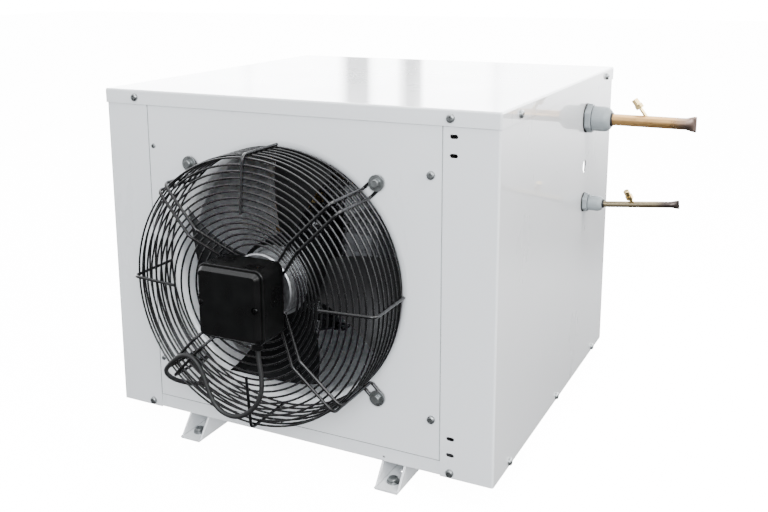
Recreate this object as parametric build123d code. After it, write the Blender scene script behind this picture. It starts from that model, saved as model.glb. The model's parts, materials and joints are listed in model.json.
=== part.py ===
"""Air-cooled refrigeration condensing unit in a painted sheet-steel housing.

+Z is up, -Y is the fan side and +X the pipe side.  The origin is the centre of the four
anchor holes, on the floor.  All sizes are in millimetres.
"""
import os
from math import atan, cos, degrees, hypot, pi, radians, sin, tan

from build123d import *

os.makedirs("parts", exist_ok=True)

# ---------------------------------------------------------------- driving dimensions
# Housing
width = 610.0
depth = 585.0
height = 492.0              # underside of the base pan to the top of the lid
sheet = 1.2
fold_radius = 3.0           # outside radius of a folded panel edge
gap = 1.5                   # visible joint between neighbouring panels
pan_sheet = 1.5
pan_flange = 21.0
strip_width = 74.0          # front strip of each side panel
joggle_width = 30.0         # flange behind the fan panel that takes its screws
lid_skirt = 20.0
lid_clearance = 0.5
return_flange = 14.0

# Rails and feet
rail_width = 36.0
rail_height = 30.0
rail_sheet = 3.0
rail_spacing = 325.0
rail_reach = 23.0           # how far the floor plate stands out from the housing
foot_bolt_inset = 24.0      # rail end to foot bolt
anchor_inset = 58.0         # rail end to anchor hole
anchor_hole = 9.0

# Screws
screw_thread = 4.8
screw_grip = 10.0           # how far a screw reaches in from its seat
screw_length = 14.0
screw_clearance = 0.1
screw_head = 11.0
screw_head_height = 4.2
small_screw_thread = 3.5
small_screw_head = 7.0
small_screw_head_height = 2.0
bolt_thread = 8.0

# Fan opening, motor and impeller
fan_offset_x = -7.5         # fan axis from the middle of the housing
fan_drop = 3.5              # fan axis below half the height of the housing
throat_radius = 178.0
mouth_radius = 14.0         # rounding of the bell mouth
mouth_depth = 42.0
tip_clearance = 4.0
hub_radius = 56.0
hub_depth = 66.0
hub_wall = 3.0
blade_count = 4
blade_thickness = 3.0
blade_pitch_root = 38.0     # blade angle from the plane of rotation, degrees
blade_pitch_tip = 22.0
blade_chord_root = 58.0
blade_chord_tip = 142.0
blade_camber = 0.07         # bow of the blade as a share of its chord
blade_sweep = 13.0          # how far the tip trails the root, degrees
motor_face = 56.0           # stator flange, in front of the fan panel
stator_radius = 48.0
stator_flange = 8.0
rotor_radius = 50.0
rotor_depth = 62.0
shaft_radius = 6.0
bearing_radius = 14.0
bearing_width = 9.0
running_gap = 0.05          # radial clearance of the shaft in its bearings
air_gap = 1.0

# Fan guard
ring_wire = 2.8
spoke_wire = 4.2
guard_depth = 88.0          # panel to the guard's front corner
guard_radius = 188.0        # centre line of the spokes' legs
guard_dome = 8.0            # how far the knee stands ahead of the corner
knee_radius = 110.0         # where the arms turn back to the motor
knee_bend = 12.0
rings_outside_knee = 9
rings_inside_knee = 6
side_rings = 7
rim_gap = 8.0               # panel to the last side ring
arm_foot_inner = 26.0       # the arms lie on the motor flange between these two radii
arm_foot_outer = 50.0
arm_screw_radius = 38.0
arm_gap = 15.0              # between the two wires of an arm
corner_bend = 9.0
foot_bend = 8.0
lug_bend = 5.0
lug_radius = 210.0          # bolt circle of the guard
lug_bolt = 6.0
wire_sides = 6
wire_bite = 0.08            # weld penetration where wires cross

# Terminal box
box_width = 100.0
box_height = 100.0
box_depth = 42.0
box_standoff = 22.0         # stator flange to the back of the box
box_corner = 12.0
box_wall = 2.5
cover_depth = 14.0
cover_bevel = 6.0
cover_screw_inset = 8.5     # side of the box to the axis of a cover screw
cover_recess = 3.5          # cover screw seat below the front of the cover
box_gland_side = 24.0       # cable gland to the right of the fan axis
box_gland_back = 18.0       # cable gland behind the front of the box

# Fan cable
cable_radius = 3.25
grommet_hole = 6.0
grommet_side = 142.0        # grommet to the left of the fan axis
grommet_drop = 184.0        # grommet below the fan axis

# Pipe connections in the right side
pipe_inset = 170.0          # from the back of the housing
suction_drop = 65.0         # below the top of the lid
liquid_drop = 201.0
entry_drop = 143.0
entry_hole = 10.25
suction_radius = 9.0
liquid_radius = 4.9
suction_reach = 165.0
liquid_reach = 148.0
liquid_straight = 38.0      # the liquid stub leaves its gland straight, then rises
liquid_rise = 5.5           # degrees
liquid_bend = 60.0
suction_flat = (11.0, 24.0, 7.0)    # sealed end: length of the squeeze, width, thickness
liquid_flat = (9.0, 13.5, 4.5)
suction_gland = {"thread": 16.0, "hex": 41.0, "nut": 39.0, "bore": suction_radius, "reach": 37.0}
liquid_gland = {"thread": 10.0, "hex": 27.0, "nut": 24.5, "bore": liquid_radius, "reach": 29.0}
seal_thickness = 1.8
service_body = 7.0
service_neck = 6.0
suction_service_reach = 97.0        # from the right panel to the access fitting
liquid_service_reach = 79.0

# Condenser
coil_side_space = 63.8      # base pan's flange to the fins, for return bends and pipes
coil_top_space = 36.0       # least room left over the fins
tube_pitch = 31.75
row_pitch = 27.5
rows = 2
tube_radius = 4.76
fin_pitch = 5.0
fin_gap = 3.4
fin_groove = 5.0
end_plate = 1.5
end_plate_flange = 16.0
tube_stub = 8.0             # straight tube between an end plate and its bend
window_margin_x = 42.0      # air inlet in the rear panel
window_margin_low = 42.0
window_margin_high = 46.0
guard_wire = 2.5            # coil guard
guard_mesh_x = 38.0
guard_mesh_z = 80.0

# Compressor
compressor_x = 165.0        # from the inside of the right panel to the compressor axis
compressor_y = 222.0        # from the back of the housing to the compressor axis
shell_radius = 84.0
shell_height = 176.0
foot_plate = 3.0
grommet_height = 16.0
grommet_neck = 9.0
grommet_radius = 14.0
suction_port_angle = 0.0
discharge_port_angle = 150.0
process_port_angle = 215.0

# Receiver, filter drier and sight glass
receiver_x = 115.0          # from the left side
receiver_radius = 50.0
receiver_stand = 14.0       # base pan to the bottom of the receiver
valve_stack = 60.5          # top of the receiver to the liquid line
valve_x_reach = 24.0
stem_radius = 4.0
line_gap = 40.0             # bare pipe between the liquid line's fittings
drier_length = 128.0
drier_radius = 20.0
glass_length = 46.0

# Electrical plate and what it carries
plate_length = 290.8        # from the right panel
plate_depth = 150.0         # fan panel to the plate
plate_rise = 195.0          # base pan to the plate's lower edge
plate_height = 150.0
plate_sheet = 1.5
contactor_size = (45.0, 72.0, 78.0)
contactor_side = 60.0       # left edge of the plate to the contactor's middle
strip_side = 21.0
strip_poles = 6
strip_pole_pitch = 9.0
slide_gap = 0.3
capacitor_side = 118.0
capacitor_radius = 20.0
capacitor_length = 92.0
switch_side = 200.0
switch_size = (82.0, 42.0, 92.0)

# Slots and pilot holes
slot_inset = 60.0           # right side to the slots' middles
slot_length = 11.0
slot_width = 5.5
slot_drops = (34.0, 58.0)   # below the top of the lid
slot_rises = (33.0, 56.0)   # above the underside of the base pan
pilot_inset = 157.0         # right side to the pilot hole in the base pan
drain_inset_left = 121.2
drain_inset_right = 61.2
side_pair_back = 250.0      # fan panel to the pair of rivet holes in the right side
side_pair_drops = (120.0, 145.0)

# ---------------------------------------------------------------- derived places
base = rail_height
top = base + height
front = -depth / 2
back = depth / 2
left = -width / 2
right = width / 2
floor = base + pan_sheet
fan_x = fan_offset_x
fan_z = base + height / 2 - fan_drop
pipe_y = back - pipe_inset
suction_z = top - suction_drop
liquid_z = top - liquid_drop
entry_z = top - entry_drop
panel_low = base + pan_flange + gap
panel_high = top - sheet - 0.5
pan_half_x = width / 2 - sheet
pan_half_y = depth / 2 - sheet


# ---------------------------------------------------------------- helpers
def block(x, y, z):
    """Box between two corners, each axis given as (low, high)."""
    centre = Pos((x[0] + x[1]) / 2, (y[0] + y[1]) / 2, (z[0] + z[1]) / 2)
    return centre * Box(x[1] - x[0], y[1] - y[0], z[1] - z[0])


def rod(start, direction, radius, length):
    """Round bar from start along direction."""
    plane = Plane(origin=start, z_dir=direction)
    return extrude(plane * Circle(radius), length)


def tube(start, direction, outer, inner, length):
    """Round tube from start along direction."""
    plane = Plane(origin=start, z_dir=direction)
    return extrude(plane * (Circle(outer) - Circle(inner)), length)


def hexagon(start, direction, flats, length):
    """Hexagonal bar, size across flats."""
    plane = Plane(origin=start, z_dir=direction)
    return extrude(plane * RegularPolygon(flats / 2, 6, major_radius=False), length)


def group(shapes):
    """Several separate solids as one named piece."""
    solids = []
    for shape in shapes:
        solids += shape.solids()
    return Compound(children=solids)


def pipe(points, radii, radius):
    """Round bar or pipe outline bent along straight runs and tangent arcs."""
    if len(points) == 2:
        path = Line(*points)
    else:
        path = FilletPolyline(*points, radius=radii)
    start = Plane(origin=path @ 0, z_dir=path % 0)
    return sweep(start * Circle(radius), path=path)


def folded(points, thickness, low, high):
    """Folded sheet: points are its outer face in plan, the sheet lies on their left."""
    runs = [Vector(*b) - Vector(*a) for a, b in zip(points, points[1:])]
    along = [run.normalized() for run in runs]
    normal = [Vector(-run.Y, run.X) for run in along]
    inner = [Vector(*points[0]) + normal[0] * thickness]
    for i in range(1, len(points) - 1):
        mitre = (normal[i - 1] + normal[i]) / (1 + normal[i - 1].dot(normal[i]))
        inner.append(Vector(*points[i]) + mitre * thickness)
    inner.append(Vector(*points[-1]) + normal[-1] * thickness)
    outline = [Vector(*p) for p in points] + inner[::-1]
    sketch = make_face(Polyline(*outline, close=True))
    for i in range(1, len(points) - 1):
        turns_left = along[i - 1].cross(along[i]).Z > 0
        outside = Vector(*points[i]) if turns_left else inner[i]
        inside = inner[i] if turns_left else Vector(*points[i])
        for corner, radius in ((outside, fold_radius), (inside, fold_radius - thickness)):
            vertex = sketch.vertices().sort_by_distance(corner)[0]
            sketch = fillet(vertex, radius)
    return extrude(Pos(0, 0, low) * sketch, high - low)


def pan_head_screw(seat, direction, head, head_height, thread, length):
    """Screw with a domed cross-recessed head; seat is on the face it clamps, direction points out."""
    out = Vector(*direction)
    dome = rod(seat, direction, head / 2, head_height)
    rim = dome.edges().sort_by(Axis(seat, direction))[-1]
    dome = fillet(rim, head_height * 0.6)
    shank = rod(Vector(*seat) - out * length, direction, thread / 2, length)
    mark = Plane(origin=Vector(*seat) + out * head_height, z_dir=direction)
    slot = head * 0.13
    cross = Rectangle(head * 0.6, slot) + Rectangle(slot, head * 0.6)
    return dome + shank - extrude(mark * cross, -head_height * 0.4)


def hex_screw(seat, direction, flats, head_height, thread, length):
    """Hexagon screw with a chamfered head and a flange under it."""
    out = Vector(*direction)
    flange = rod(seat, direction, flats * 0.66, head_height * 0.25)
    head = hexagon(seat, direction, flats, head_height)
    cap = rod(seat, direction, flats * 0.56, head_height)
    rim = cap.edges().sort_by(Axis(seat, direction))[-1]
    head = head & chamfer(rim, head_height * 0.18)
    shank = rod(Vector(*seat) - out * length, direction, thread / 2, length)
    return flange + head + shank


def washer(seat, direction, outer, inner, thickness):
    """Flat washer standing on seat."""
    return tube(seat, direction, outer / 2, inner / 2, thickness)


def drilled(solid):
    """Solid with a clearance hole for every housing screw that passes through it."""
    big = screw_thread / 2 + screw_clearance
    small = small_screw_thread / 2 + screw_clearance
    drills = [(spot, big) for spot in lid_spots + base_spots + rear_spots + panel_spots]
    drills += [(spot, small) for spot in small_spots]
    bounds = solid.bounding_box()
    for (seat, direction), radius in drills:
        drill = rod(Vector(*seat) + Vector(*direction), Vector(*direction) * -1, radius, screw_length)
        near = drill.bounding_box()
        apart = near.min.X > bounds.max.X or near.max.X < bounds.min.X
        apart = apart or near.min.Y > bounds.max.Y or near.max.Y < bounds.min.Y
        if not apart:
            solid = solid - drill
    return solid


def holes(solid, spots, direction, radius, reach):
    """Cut round holes through solid at each spot."""
    for spot in spots:
        start = Vector(*spot) - Vector(*direction) * reach
        solid = solid - rod(start, direction, radius, 2 * reach)
    return solid


# ---------------------------------------------------------------- screw places
# Each screw is (seat, outward direction); the seat is on the outermost face that it clamps.
skirt_z = top - sheet - lid_skirt / 2
base_screw_z = base + 7.5
lid_face = lid_clearance + sheet
lid_spots = [((left + 54, front - lid_face, skirt_z), (0, -1, 0))]
lid_spots += [((right - 64, front - lid_face, skirt_z), (0, -1, 0))]
lid_spots += [((x, back + lid_face, skirt_z), (0, 1, 0)) for x in (left + 64, right - 64)]
base_spots = [((left + 58, front, base_screw_z), (0, -1, 0))]
base_spots += [((right - 60, front, base_screw_z), (0, -1, 0))]
base_spots += [((x, back, base_screw_z), (0, 1, 0)) for x in (left + 36, right - 36)]
for side in (-1, 1):
    face = side * width / 2
    lid_spots += [((face + side * lid_face, y, skirt_z), (side, 0, 0)) for y in (front + 68, back - 54)]
    base_spots += [((face, y, base_screw_z), (side, 0, 0)) for y in (front + 65, 0, back - 70)]
rear_spots = [
    ((side * (width / 2 - 9), back, z), (0, 1, 0))
    for side in (-1, 1) for z in (base + 60, (base + top) / 2, top - 60)
]
panel_spots = [((right - 90, front, top - 85), (0, -1, 0)), ((right - 87, front, base + 78), (0, -1, 0))]
small_spots = [((left + 83, front, top - 81), (0, -1, 0)), ((left + 82, front, base + 82), (0, -1, 0))]
lug_angles = [45, 135, 225, 315]


def around_fan(radius, angle, y):
    """Point on a circle about the fan axis; angle from +X towards +Z."""
    return (fan_x + radius * cos(radians(angle)), y, fan_z + radius * sin(radians(angle)))


lug_spots = [around_fan(lug_radius, a, front) for a in lug_angles]
grommet_spot = (fan_x - grommet_side, front, fan_z - grommet_drop)


# ---------------------------------------------------------------- housing
def make_base_pan():
    """Folded tray with an upturned flange all round."""
    pan = block((-pan_half_x, pan_half_x), (-pan_half_y, pan_half_y), (base, base + pan_flange))
    corners = pan.edges().filter_by(Axis.Z)
    pan = fillet(corners, fold_radius)
    inside = block(
        (-pan_half_x + pan_sheet, pan_half_x - pan_sheet),
        (-pan_half_y + pan_sheet, pan_half_y - pan_sheet),
        (floor, base + pan_flange + 1),
    )
    inside = fillet(inside.edges().filter_by(Axis.Z), fold_radius - pan_sheet)
    pan = pan - inside
    bottom = pan.faces().sort_by(Axis.Z)[0].outer_wire().edges()
    pan = fillet(bottom, fold_radius - 1.0)
    drain = [(x, 0, base) for x in (left + drain_inset_left, right - drain_inset_right)]
    pan = holes(pan, drain, (0, 0, 1), 8.0, 5)
    pilot = [(right - pilot_inset, front, base_screw_z - 0.5)]
    pan = holes(pan, pilot, (0, 1, 0), 1.6, 10)
    return drilled(pan)


def make_rail(x):
    """Channel rail under the pan; its ends are cut back from the floor plate up to the pan."""
    y0, y1 = front - rail_reach, back + rail_reach
    rail = block((x - rail_width / 2, x + rail_width / 2), (y0, y1), (0, rail_height))
    rail = fillet(rail.edges().filter_by(Axis.Y).sort_by(Axis.Z)[:2], fold_radius)
    hollow = block(
        (x - rail_width / 2 + rail_sheet, x + rail_width / 2 - rail_sheet),
        (y0 - 1, y1 + 1), (rail_sheet, rail_height + 1),
    )
    rail = rail - hollow
    for end, sign in ((y0, 1), (y1, -1)):
        profile = Plane.YZ * make_face(Polyline(
            (end - sign, rail_sheet),
            (end + sign * 4, rail_sheet),
            (end + sign * (rail_reach + 3), rail_height + 0.1),
            (end - sign, rail_height + 0.1),
            close=True,
        ))
        rail = rail - Pos(x, 0, 0) * extrude(profile, rail_width, both=True)
    spots = [(x, y, 0) for y in (y0 + foot_bolt_inset, y1 - foot_bolt_inset)]
    rail = holes(rail, spots, (0, 0, 1), bolt_thread / 2, 6)
    spots = [(x, y, 0) for y in (y0 + anchor_inset, y1 - anchor_inset)]
    return holes(rail, spots, (0, 0, 1), anchor_hole / 2, 6)


def make_foot_bolts():
    """Flanged hexagon bolts with washers, one at each end of both rails."""
    pieces = []
    for x in (-rail_spacing / 2, rail_spacing / 2):
        for y in (front - rail_reach + foot_bolt_inset, back + rail_reach - foot_bolt_inset):
            seat = (x, y, rail_sheet)
            pieces.append(washer(seat, (0, 0, 1), 18, bolt_thread, 1.6))
            seat = (x, y, rail_sheet + 1.6)
            pieces.append(hex_screw(seat, (0, 0, 1), 13, 5.3, bolt_thread, 1.6 + rail_sheet))
    return group(pieces)


def make_housing_screws():
    """Every screw of the housing: large ones, and two small ones at the left edge of the fan panel."""
    pieces = []
    for seat, out in lid_spots + base_spots + rear_spots + panel_spots:
        pieces.append(pan_head_screw(seat, out, screw_head, screw_head_height, screw_thread, screw_grip))
    for seat, out in small_spots:
        pieces.append(pan_head_screw(
            seat, out, small_screw_head, small_screw_head_height, small_screw_thread, screw_grip,
        ))
    return group(pieces)


def make_side_panel(side):
    """L-shaped side panel: front strip, joggled flange behind the fan panel, side and rear return."""
    outer = side * width / 2
    strip = side * (width / 2 - strip_width)
    behind = front + sheet
    flange = strip - side * joggle_width
    # The outer face runs from the rear return round the front strip to the joggled flange.
    plan = [
        (outer - side * return_flange, back),
        (outer, back),
        (outer, front),
        (strip, front),
    ]
    if side > 0:
        plan = plan[::-1]
    panel = folded(plan, sheet, base, panel_high)
    lip = block(sorted_pair(flange, strip + side * 3), (behind, behind + sheet), (panel_low, panel_high))
    web = block(sorted_pair(strip, strip + side * 3), (front, behind + sheet), (panel_low, panel_high))
    return drilled(panel + lip + web)


def sorted_pair(a, b):
    """The two values, lower first."""
    return (min(a, b), max(a, b))


def make_right_panel():
    """Right side panel with the pipe glands, the cable entry and the slotted front strip."""
    panel = make_side_panel(1)
    for z, radius in (
        (suction_z, suction_gland["thread"]),
        (liquid_z, liquid_gland["thread"]),
        (entry_z, entry_hole),
    ):
        panel = holes(panel, [(right, pipe_y, z)], (1, 0, 0), radius, 3)
    pair = [(right, front + side_pair_back, top - drop) for drop in side_pair_drops]
    panel = holes(panel, pair, (1, 0, 0), 1.3, 3)
    for z in [top - drop for drop in slot_drops] + [base + rise for rise in slot_rises]:
        slot = Plane((right - slot_inset, front, z), x_dir=(1, 0, 0), z_dir=(0, -1, 0))
        panel = panel - extrude(slot * SlotOverall(slot_length, slot_width), 6, both=True)
    return panel


def make_fan_panel():
    """Front panel with the drawn bell mouth of the fan."""
    x0, x1 = left + strip_width + gap, right - strip_width - gap
    panel = block((x0, x1), (front, front + sheet), (panel_low, panel_high))
    for z in (panel_low, panel_high - sheet):
        panel = panel + block((x0 + joggle_width, x1 - joggle_width), (front, front + 12), (z, z + sheet))
    opening = rod((fan_x, front - 5, fan_z), (0, 1, 0), throat_radius + mouth_radius, 30)
    panel = panel - opening
    # Bell mouth section in the plane of the fan axis: radius outwards, depth backwards.
    with BuildSketch(Plane((fan_x, 0, fan_z), x_dir=(1, 0, 0), z_dir=(0, 0, 1))) as section:
        with BuildLine():
            rim = throat_radius + mouth_radius
            a = Line((rim, front), (rim, front + sheet))
            b = RadiusArc(a @ 1, (throat_radius + sheet, front + mouth_radius), mouth_radius - sheet)
            c = Line(b @ 1, (throat_radius + sheet, front + mouth_depth))
            d = Line(c @ 1, (throat_radius, front + mouth_depth))
            e = Line(d @ 1, (throat_radius, front + mouth_radius))
            RadiusArc(e @ 1, a @ 0, -mouth_radius)
        make_face()
    axis = Axis((fan_x, 0, fan_z), (0, 1, 0))
    panel = panel + revolve(section.sketch, axis)
    panel = holes(panel, lug_spots, (0, 1, 0), lug_bolt / 2, 5)
    panel = holes(panel, [grommet_spot], (0, 1, 0), grommet_hole, 5)
    return drilled(panel)


def make_top_lid():
    """Lid pressed with a turned-down skirt that laps over the panels."""
    reach = lid_clearance + sheet
    x1, y1 = width / 2 + reach, depth / 2 + reach
    lid = block((-x1, x1), (-y1, y1), (top - lid_skirt - sheet, top))
    lid = fillet(lid.edges().filter_by(Axis.Z), fold_radius)
    lid = fillet(lid.faces().sort_by(Axis.Z)[-1].edges(), fold_radius)
    inside = block(
        (-x1 + sheet, x1 - sheet), (-y1 + sheet, y1 - sheet), (top - lid_skirt - 5, top - sheet),
    )
    inside = fillet(inside.edges().filter_by(Axis.Z), fold_radius - sheet)
    inside = fillet(inside.faces().sort_by(Axis.Z)[-1].edges(), fold_radius - sheet - 0.3)
    return drilled(lid - inside)


window_low = base + window_margin_low
window_high = top - window_margin_high


def make_rear_panel():
    """Rear panel: a sheet frame round the air inlet of the condenser."""
    x1 = width / 2 - return_flange - gap
    panel = block((-x1, x1), (back - sheet, back), (base, panel_high))
    window = block((left + window_margin_x, right - window_margin_x), (back - 5, back + 5),
                   (window_low, window_high))
    window = fillet(window.edges().filter_by(Axis.Y), 8)
    panel = panel - window
    for x in (-x1, x1):
        tab = sorted_pair(x, x + (10 if x > 0 else -10))
        panel = panel + block(tab, (back - 2 * sheet, back - sheet), (panel_low, panel_high))
        inner = sorted_pair(x, x - (8 if x > 0 else -8))
        panel = panel + block(inner, (back - 2 * sheet, back - sheet), (panel_low, panel_high))
    return drilled(panel)


def make_coil_guard():
    """Welded wire grid over the air inlet, inside the rear panel's window frame."""
    x1 = width / 2 - window_margin_x + 10
    z0, z1 = window_low - 10, window_high + 10
    radius = guard_wire / 2
    y = back + radius
    wires = []
    count_x = round(2 * x1 / guard_mesh_x)
    for i in range(count_x + 1):
        x = -x1 + i * 2 * x1 / count_x
        wires.append(rod((x, y, z0 - radius), (0, 0, 1), radius, z1 - z0 + 2 * radius))
    count_z = round((z1 - z0) / guard_mesh_z)
    for i in range(count_z + 1):
        z = z0 + i * (z1 - z0) / count_z
        wires.append(rod((-x1 - radius, y + guard_wire - wire_bite, z), (1, 0, 0), radius, 2 * x1 + guard_wire))
    return group(wires)


# ---------------------------------------------------------------- condenser
plate_rear = back - sheet - pan_sheet - fold_radius
coil_rear = plate_rear - end_plate
coil_depth = rows * row_pitch
coil_front = coil_rear - coil_depth
coil_low = floor + 8.0
coil_half_width = pan_half_x - coil_side_space
# An even number of tubes brings both ends of the circuit out on the left.
tubes_per_row = 2 * int((top - coil_top_space - coil_low) / (2 * tube_pitch))
coil_high = coil_low + tubes_per_row * tube_pitch
row_y = [coil_rear - row_pitch * (i + 0.5) for i in range(rows)]
tube_z = [coil_low + tube_pitch * (i + 0.5) for i in range(tubes_per_row)]
tube_end = coil_half_width + end_plate + tube_stub


def make_condenser_fins():
    """Fin block: aluminium fins read as grooves in both faces, with the tube holes through it."""
    fins = block((-coil_half_width, coil_half_width), (coil_front, coil_rear), (coil_low, coil_high))
    count = int(2 * coil_half_width / fin_pitch)
    start = -(count - 1) * fin_pitch / 2
    cuts = []
    for i in range(count):
        x = start + i * fin_pitch
        for y0, y1 in ((coil_front - 1, coil_front + fin_groove), (coil_rear - fin_groove, coil_rear + 1)):
            cuts.append(block((x - fin_gap / 2, x + fin_gap / 2), (y0, y1), (coil_low - 1, coil_high + 1)))
    fins = fins - cuts
    bores = [
        rod((-coil_half_width - 1, y, z), (1, 0, 0), tube_radius, 2 * coil_half_width + 2)
        for y in row_y for z in tube_z
    ]
    return fins - bores


def make_end_plate(side):
    """Galvanised end plate: it carries the tubes, stands on the pan and is flanged to the rear panel."""
    x0 = side * coil_half_width
    x1 = x0 + side * end_plate
    plate = block(sorted_pair(x0, x1), (coil_front - 6, plate_rear), (floor, coil_high + 6))
    foot = block(
        sorted_pair(x0, x0 + side * end_plate_flange), (coil_front - 6, plate_rear), (floor, floor + end_plate),
    )
    flange = block(
        sorted_pair(x0, x0 + side * end_plate_flange),
        (coil_rear, plate_rear), (floor, coil_high + 6),
    )
    plate = plate + foot + flange
    spots = [(x0, y, z) for y in row_y for z in tube_z]
    return holes(plate, spots, (1, 0, 0), tube_radius, 6)


def half_ring(centre, radius, x_dir, z_dir, start_angle):
    """Return bend: half a ring of tube about centre, in the plane given by its x and normal directions."""
    plane = Plane(centre, x_dir=x_dir, z_dir=z_dir)
    arc = plane * CenterArc((0, 0), radius, start_angle, 180)
    return sweep(Plane(arc @ 0, z_dir=arc % 0) * Circle(tube_radius), path=arc)


def make_condenser_tubes():
    """Straight tubes with return bends: down the front row, across at the bottom and up the rear row."""
    pieces = []
    for y in row_y:
        for z in tube_z:
            pieces.append(rod((-tube_end, y, z), (1, 0, 0), tube_radius, 2 * tube_end))
        for i in range(tubes_per_row - 1):
            side = 1 if i % 2 == 0 else -1
            centre = (side * tube_end, y, (tube_z[i] + tube_z[i + 1]) / 2)
            pieces.append(half_ring(centre, tube_pitch / 2, (0, 0, 1), (0, 1, 0), 0 if side > 0 else 180))
    centre = (-tube_end, (row_y[0] + row_y[1]) / 2, tube_z[0])
    pieces.append(half_ring(centre, row_pitch / 2, (0, 1, 0), (0, 0, 1), 0))
    return group(pieces)


# ---------------------------------------------------------------- compressor
comp_x = right - sheet - compressor_x
comp_y = back - compressor_y
comp_low = floor + grommet_height + foot_plate
comp_mid = comp_low + shell_height * 0.45
port_reach = shell_radius + 20.0


def make_compressor_shell():
    """Welded hermetic shell: two drawn cups lapped at a seam, with three port stubs."""
    r, h = shell_radius, shell_height
    seam = h * 0.55
    with BuildSketch(Plane.XZ) as section:
        with BuildLine():
            Polyline((0, 0), (r * 0.55, 0), (r * 0.8, 5))
            ThreePointArc((r * 0.8, 5), (r * 0.93, 12), (r - 2, 30))
            Polyline((r - 2, 30), (r - 2, seam - 6), (r + 3, seam - 6), (r + 3, seam), (r, seam + 4))
            Line((r, seam + 4), (r, h - 52))
            ThreePointArc((r, h - 52), (r * 0.86, h - 18), (r * 0.45, h - 3))
            Polyline((r * 0.45, h - 3), (0, h), (0, 0))
        make_face()
    shell = Pos(comp_x, comp_y, comp_low) * revolve(section.sketch, Axis.Z)
    for angle, z, radius in (
        (suction_port_angle, comp_mid, suction_radius + 1.2),
        (discharge_port_angle, comp_mid + 30, tube_radius + 1.2),
        (process_port_angle, comp_mid, tube_radius + 1.2),
    ):
        out = (cos(radians(angle)), sin(radians(angle)), 0)
        stub = rod((comp_x, comp_y, z), out, radius, port_reach)
        shell = shell + stub
    return shell


def port_end(angle, z):
    """Outer end of a compressor stub."""
    return (
        comp_x + port_reach * cos(radians(angle)),
        comp_y + port_reach * sin(radians(angle)),
        z,
    )


mount_square = shell_radius + 14.0
mount_spots = [
    (comp_x + sx * mount_square, comp_y + sy * mount_square * 0.62) for sx in (-1, 1) for sy in (-1, 1)
]


def make_compressor_feet():
    """Pressed foot plate welded under the shell, with four eyes for the grommets."""
    z0 = comp_low - foot_plate
    plate = block(
        (comp_x - mount_square - 16, comp_x + mount_square + 16),
        (comp_y - mount_square * 0.62 - 16, comp_y + mount_square * 0.62 + 16), (z0, comp_low),
    )
    plate = fillet(plate.edges().filter_by(Axis.Z), 14)
    spots = [(x, y, comp_low) for x, y in mount_spots]
    return holes(plate, spots, (0, 0, 1), grommet_neck, 8)


def make_grommets():
    """Rubber grommets: waisted round the foot plate, with a sleeve hole for the bolt."""
    pieces = []
    z0 = floor
    z1 = comp_low - foot_plate
    for x, y in mount_spots:
        body = rod((x, y, z0), (0, 0, 1), grommet_radius, z1 - z0)
        waist = rod((x, y, z1), (0, 0, 1), grommet_neck, foot_plate)
        cap = rod((x, y, comp_low), (0, 0, 1), grommet_radius - 2, 4)
        piece = body + waist + cap - rod((x, y, z0 - 1), (0, 0, 1), bolt_thread / 2, 60)
        pieces.append(piece)
    return group(pieces)


def make_compressor_bolts():
    """Bolt up through the pan, washer and nut on each grommet."""
    pieces = []
    z = comp_low + 4
    for x, y in mount_spots:
        bolt = rod((x, y, floor), (0, 0, 1), bolt_thread / 2, z - floor + 12)
        plate = washer((x, y, z), (0, 0, 1), 24, bolt_thread, 1.6)
        nut = hexagon((x, y, z + 1.6), (0, 0, 1), 13, 6.5)
        pieces.append(bolt + plate + nut)
    return group(pieces)


def make_terminal_cover():
    """Moulded cover over the compressor's terminals and start relay, on the shell's front side."""
    y0 = comp_y - shell_radius - 26
    cover = block((comp_x - 34, comp_x + 34), (y0, comp_y - shell_radius * 0.6), (comp_mid - 36, comp_mid + 44))
    cover = fillet(cover.edges().filter_by(Axis.Y), 8)
    cover = fillet(cover.faces().sort_by(Axis.Y)[0].edges(), 4)
    return cover - rod((comp_x, comp_y, comp_low), (0, 0, 1), shell_radius + 3, shell_height)


# ---------------------------------------------------------------- receiver and liquid line parts
recv_x = left + receiver_x
recv_y = pipe_y
recv_low = floor + receiver_stand
receiver_height = liquid_z - valve_stack - recv_low
recv_in_z = recv_low + receiver_height * 0.75


def make_receiver():
    """Upright liquid receiver with dished ends, an inlet stub, a valve boss and its ring foot."""
    r, h = receiver_radius, receiver_height
    with BuildSketch(Plane.XZ) as section:
        with BuildLine():
            Line((0, 0), (r * 0.5, 2))
            ThreePointArc((r * 0.5, 2), (r * 0.9, 12), (r, 30))
            Line((r, 30), (r, h - 30))
            ThreePointArc((r, h - 30), (r * 0.9, h - 12), (r * 0.5, h - 2))
            Polyline((r * 0.5, h - 2), (0, h), (0, 0))
        make_face()
    shell = Pos(recv_x, recv_y, recv_low) * revolve(section.sketch, Axis.Z)
    inlet = rod((recv_x, recv_y, recv_in_z), (-1, 0, 0), tube_radius + 1.2, r + 8)
    boss = rod((recv_x, recv_y, recv_low + h - 6), (0, 0, 1), 12, 16)
    ring = tube((recv_x, recv_y, floor), (0, 0, 1), r * 0.8, r * 0.8 - 3, 22)
    ears = block((recv_x - r - 14, recv_x + r + 14), (recv_y - 16, recv_y + 16), (floor, floor + 2.5))
    ears = fillet(ears.edges().filter_by(Axis.Z), 8)
    ears = ears - rod((recv_x, recv_y, floor - 1), (0, 0, 1), r * 0.8 - 3, 10)
    spots = [(recv_x + side * (r + 5), recv_y, floor) for side in (-1, 1)]
    return holes(shell + inlet + boss + ring + ears, spots, (0, 0, 1), 3.1, 8)


def make_receiver_bolts():
    spots = [(recv_x + side * (receiver_radius + 5), recv_y, floor + 2.5) for side in (-1, 1)]
    return group([hex_screw(spot, (0, 0, 1), 10, 4.5, 6, 2.5) for spot in spots])


valve_low = recv_low + receiver_height + 10


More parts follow.
